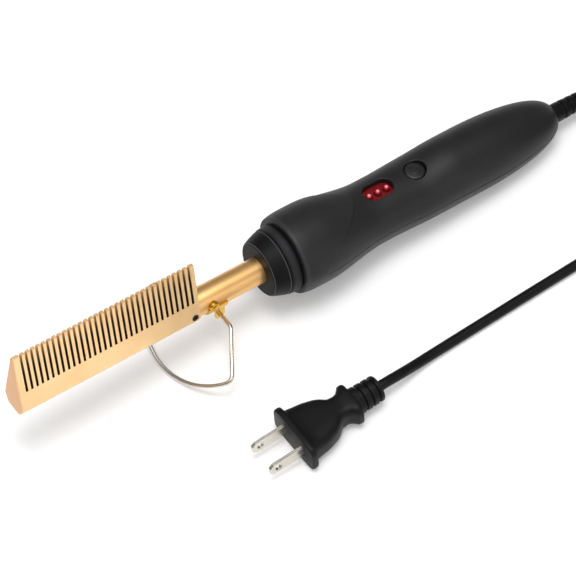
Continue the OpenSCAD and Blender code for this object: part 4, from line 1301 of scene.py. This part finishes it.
@dataclass
class Cord:
    """The free cord: a short run from the boot, a tied coil, and a run to the plug."""

    place: Placement
    radius: float = 2.2
    coil: tuple[float, float] = (185.0, -32.0)
    coil_r: float = 32.0
    pitch: float = 4.9
    layers: int = 4
    turns: float = 2.375
    lift: float = 1.1
    boot_end: float = 301.6
    plug_end: tuple[float, float, float] = (-20.2, -66.0, 7.5)
    tie_edge: float = 0.5
    per_turn: int = 40

    def coil_points(self) -> Grid:
        """Works out the coil's centre line.

        The radius goes steadily in and out again, one pitch a turn, and reverses after
        each layer. The height rises one pitch in the half turn round each reversal.

        Returns:
            Points in millimetres.
        """
        u = np.arange(int(self.layers * self.turns * self.per_turn) + 1) / self.per_turn
        k = np.floor(u / self.turns)
        v = u - k * self.turns
        r = self.coil_r - self.pitch * np.where(k % 2 == 0, v, self.turns - v)
        nearest = np.clip(np.round(u / self.turns), 1, self.layers - 1)
        rise = smooth_step(u - nearest * self.turns, -0.25, 0.25)
        z = self.lift + self.radius + self.pitch * (nearest - 1 + rise)
        a = 2 * np.pi * u
        return np.column_stack([self.coil[0] + r * np.sin(a), self.coil[1] + r * np.cos(a), z])

    def route(self) -> Grid:
        """The whole centre line, in metres: tail, coil and lead, whose points are listed."""
        d = 2 * self.radius
        low = self.lift + self.radius
        high = low + (self.layers - 1) * self.pitch
        out = self.place(np.array([self.boot_end, 0.0, 0.0])) / MM
        down = np.array([math.cos(self.place.pitch), 0, -math.sin(self.place.pitch)])
        cx, north, south = self.coil[0], self.coil[1] + self.coil_r, self.coil[1] - self.coil_r
        tail = np.array([
            out, out + d * down, [out[0] + 14, 0, out[2] - 2], [cx - 3 * d, north, low + 0.4],
            [cx - 2 * d, north, low], [cx - d, north, low],
        ])
        x, y, z = self.plug_end
        lead = np.array([
            [cx - d, south, high], [cx - 2 * d, south, high], [160, -64, 15], [140, -64, 6],
            [124, -63.5, 2.4], [108, -63.5, 2.3], [84, -63.5, 2.3], [60, -63.4, 2.3], [36, -63.4, 2.3],
            [12, -63.6, 2.6], [0, -64.4, 4], [-8, -65.6, 6.4], [x + d, y, z], [x, y, z],
        ])
        return np.vstack([curve_through(tail, 4), self.coil_points(), curve_through(lead, 8)]) * MM

    def build(self) -> None:
        path = self.route()
        grid = tube_grid(path, self.radius * MM, 14, end=(-1.0, 0.0, 0.0))
        flex = finish_piece(
            sharpen(skin("mains_cord", grid)), Body.COMB, CORD_PVC.build(),
            ["cord_tail", "cord_coil", "cord_lead"],
        )
        band = soften(cad_copy("coil_tie", "cord_tie"), self.tie_edge, 3)
        finish_piece(band, Body.COMB, PLUG_PVC.build(), ["coil_tie"])
        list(Plug().build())


@dataclass
class Plug:
    """The moulded plug with its two blades, along x, its flange towards -x."""

    face_x: float = -62.2
    y: float = -66.0
    z: float = 7.5
    flange: tuple[float, float, float] = (3.0, 28.0, 15.0)
    # Rows of (distance behind the flange, width, height): the tapering grip and the
    # shoulder behind the finger groove.
    grip: tuple[tuple[float, float, float], ...] = (
        (4.3, 22.8, 13.0), (6.4, 22.3, 12.8), (8.5, 21.5, 12.6), (10.6, 20.2, 12.4), (12.7, 18.9, 12.2),
        (14.8, 16.6, 12.0), (15.8, 14.8, 11.9), (16.9, 12.8, 11.7), (17.9, 11.8, 11.6), (20.0, 11.4, 11.4),
        (21.2, 11.7, 11.5), (22.1, 12.6, 11.8), (23.1, 14.4, 12.1), (24.2, 16.8, 12.4), (25.2, 17.2, 12.4),
        (26.1, 17.0, 12.4), (26.5, 16.2, 12.2),
    )
    neck_at: float = 26.0
    neck_r: float = 6.1
    neck_rib: float = 3.3
    blade_edge: float = 0.2
    points: int = 64

    def section(self, w: Grid, h: Grid, power: Grid) -> Grid:
        """Superellipses: y = w/2 |cos|^(2/n), z = h/2 |sin|^(2/n), signed like cos and sin."""
        a = (np.arange(self.points) + 0.5) * 2 * np.pi / self.points
        c, s, e = np.cos(a)[None], np.sin(a)[None], (2 / power)[:, None]
        return np.stack([
            w[:, None] / 2 * np.sign(c) * np.abs(c) ** e,
            h[:, None] / 2 * np.sign(s) * np.abs(s) ** e,
        ], axis=-1)

    def stations(self) -> Grid:
        """Rows of (distance from the face, width, height, squareness) along the plug."""
        t, w, h = self.flange
        rows = [
            (0, w - 1.2, h - 1.2, 5), (0.15, w - 0.5, h - 0.5, 5), (0.6, w, h, 5), (t - 0.6, w, h, 5),
            (t - 0.15, w - 0.5, h - 0.5, 5), (t, w - 1.2, h - 1.2, 5), (t, 24.6, 14.0, 4.5),
            (t + 0.5, 23.6, 13.5, 4.2),
        ]
        rows += [(t + x, wide, high, 3.6) for x, wide, high in self.grip]
        rows += [(t + 26.6, 13.2, 12.1, 2.4), (t + 26.8, 12.2, 12.2, 2)]
        for i in (1, 2, 3):
            x, d = t + self.neck_at + self.neck_rib * i, 2 * (self.neck_r - 0.1 * i)
            groove = ((-0.15, 0), (0, 0.4), (0.1, 2), (1.1, 2), (1.2, 0.6), (1.35, 0.2))
            rows += [(x + on, d - less, d - less, 2) for on, less in groove]
        rows += [(t + on, d, d, 2) for on, d in ((38.4, 11.4), (38.85, 10.8), (39, 9.8))]
        return np.array(rows, float)

    def build(self) -> list[Piece]:
        """Makes the body and the blades.

        Returns:
            The pieces.
        """
        s = self.stations()
        rings = self.section(s[:, 1], s[:, 2], s[:, 3])
        x = np.broadcast_to(s[:, :1], rings.shape[:2])
        grid = np.stack([x, rings[..., 0], rings[..., 1]], axis=-1) + [self.face_x, self.y, self.z]
        body = sharpen(skin("plug_moulding", grid * MM), 32)
        finish_piece(body, Body.COMB, PLUG_PVC.build(), ["plug_body"])
        blades = dress_copy("plug_blades", "plug_pins", self.blade_edge, BLADE_NICKEL.build())
        return [body, blades]


# ---------------------------------------------------------------- inside


@dataclass(frozen=True)
class Inside:
    """Finishes of the CAD pieces that stay as they are."""

    finishes: tuple[tuple[str, Surface], ...] = (
        ("cartridge_heater", SCREW_STEEL),
        ("heater_sleeve", MICA_TAPE),
        ("heater_leads", GLASS_BRAID),
        ("thermal_fuse", SCREW_STEEL),
        ("tube_ring", SCREW_STEEL),
        ("shell_screws", SCREW_STEEL),
        ("button_switch", EPOXY_CASE),
        ("circuit_board", BOARD_LACQUER),
        ("board_screws", SCREW_STEEL),
        ("lead_terminals", COPPER_BARE),
        ("triac", EPOXY_CASE),
        ("capacitor", FILM_CASE),
        ("mains_wires", CORD_PVC),
        ("cord_clamp", EPOXY_CASE),
        ("clamp_screws", SCREW_STEEL),
        ("cord_entry", CORD_PVC),
    )

    def dress(self) -> None:
        """Puts each finish on its node."""
        for node, surface in self.finishes:
            mesh = FRAME["nodes"][node].data
            mesh.materials.clear()
            mesh.materials.append(surface.build())
            LOG.info("%s: %s", node, surface.name)


# ---------------------------------------------------------------- studio


@dataclass
class Studio:
    """Camera at the photograph's angle, a pale floor and soft lamps."""

    place: Placement
    lens: float = 200.0
    sensor: float = 36.0
    eye: tuple[float, float, float] = (-258.2, -652.3, 1099.8)
    right: tuple[float, float, float] = (0.8189, -0.5719, -0.0495)
    up: tuple[float, float, float] = (0.4946, 0.6592, 0.5664)
    back: tuple[float, float, float] = (-0.2913, -0.4883, 0.8226)
    floor_half: float = 6.0
    floor_glow: float = 0.16
    sky: float = 0.3
    # Rows of (name, place in metres, side of the soft box, watts).
    lamps: tuple[tuple[str, tuple[float, float, float], float, float], ...] = (
        ("key", (-0.3, -0.15, 1.5), 2.0, 15.0),
        ("top", (-0.1, -0.15, 1.6), 0.6, 9.0),
        ("fill", (0.3, -1.5, 0.7), 1.0, 4.0),
    )

    def camera(self) -> None:
        """Sets the camera up from its place over the comb and its three directions."""
        data = bpy.data.cameras.new("view")
        data.lens, data.sensor_width = self.lens, self.sensor
        data.clip_start, data.clip_end = 0.05, 20.0
        camera = bpy.data.objects.new("view", data)
        bpy.context.scene.collection.objects.link(camera)
        eye = (np.array(self.eye) + [self.place.shift, 0, 0]) * MM
        turn = Matrix((self.right, self.up, self.back)).transposed()
        camera.matrix_world = Matrix.Translation(Vector(eye)) @ turn.to_quaternion().to_matrix().to_4x4()
        bpy.context.scene.camera = camera

    def floor(self) -> None:
        """Lays a pale floor, which glows a little for all but diffuse rays, so that it shows white."""
        signs = np.array([[-1, -1, 0], [1, -1, 0], [1, 1, 0], [-1, 1, 0]])
        points = self.floor_half * signs
        ground = new_object("ground", points, [[0, 1, 2, 3]])
        material, tree, paper = new_material("white_paper")
        rays = add_node(tree, "LightPath", {}, {}).outputs
        seen = calculate(tree, "MAXIMUM", rays["Is Camera Ray"], rays["Is Glossy Ray"])
        seen = calculate(tree, "MAXIMUM", seen, rays["Is Transmission Ray"])
        set_inputs(tree, paper, {
            "Base Color": linear("#f8f8f8"),
            "Roughness": 0.7,
            "Emission Color": WHITE,
            "Emission Strength": calculate(tree, "MULTIPLY", seen, self.floor_glow),
        })
        ground.data.materials.append(material)

    def lamp(self, name: str, place: Sequence[float], size: float, watts: float) -> None:
        """Hangs a square soft box that faces the middle of the floor."""
        data = bpy.data.lights.new(name, "AREA")
        data.shape, data.size, data.energy = "SQUARE", size, watts
        lamp = bpy.data.objects.new(name, data)
        bpy.context.scene.collection.objects.link(lamp)
        lamp.location = place
        lamp.rotation_euler = (-Vector(place)).to_track_quat("-Z", "Y").to_euler()

    def light(self) -> None:
        """Lights the comb with a pale world and three soft boxes."""
        world = bpy.data.worlds.new("studio")
        bpy.context.scene.world = world
        world.use_nodes = True
        sky = world.node_tree.nodes["Background"]
        set_inputs(world.node_tree, sky, {"Color": WHITE, "Strength": self.sky})
        for row in self.lamps:
            self.lamp(*row)

    def build(self) -> None:
        """Sets up floor, lights and colour view; the camera is made before."""
        self.floor()
        self.light()
        bpy.context.scene.view_settings.view_transform = "Standard"


def stand_pivot(joints: Sequence[dict[str, Any]]) -> Sequence[float]:
    """Place of the stand's joint in the frame, in metres."""
    return next(j["pos_m"] for j in joints if j["name"] == "stand_pivot")


def main() -> None:
    """Builds the pieces in order."""
    logging.basicConfig(level=logging.INFO, format="%(name)s: %(message)s")
    FRAME.update(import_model())
    place = Placement.from_pivot(stand_pivot(FRAME["joints"]), *PIVOT, PITCH)
    studio = Studio(place)
    studio.camera()
    Cord(place).build()
    Head(place).build()
    Neck(place).build()
    Stand(place).build()
    Handle(place).build()
    Inside().dress()
    studio.build()


if __name__ == "__main__":
    main()
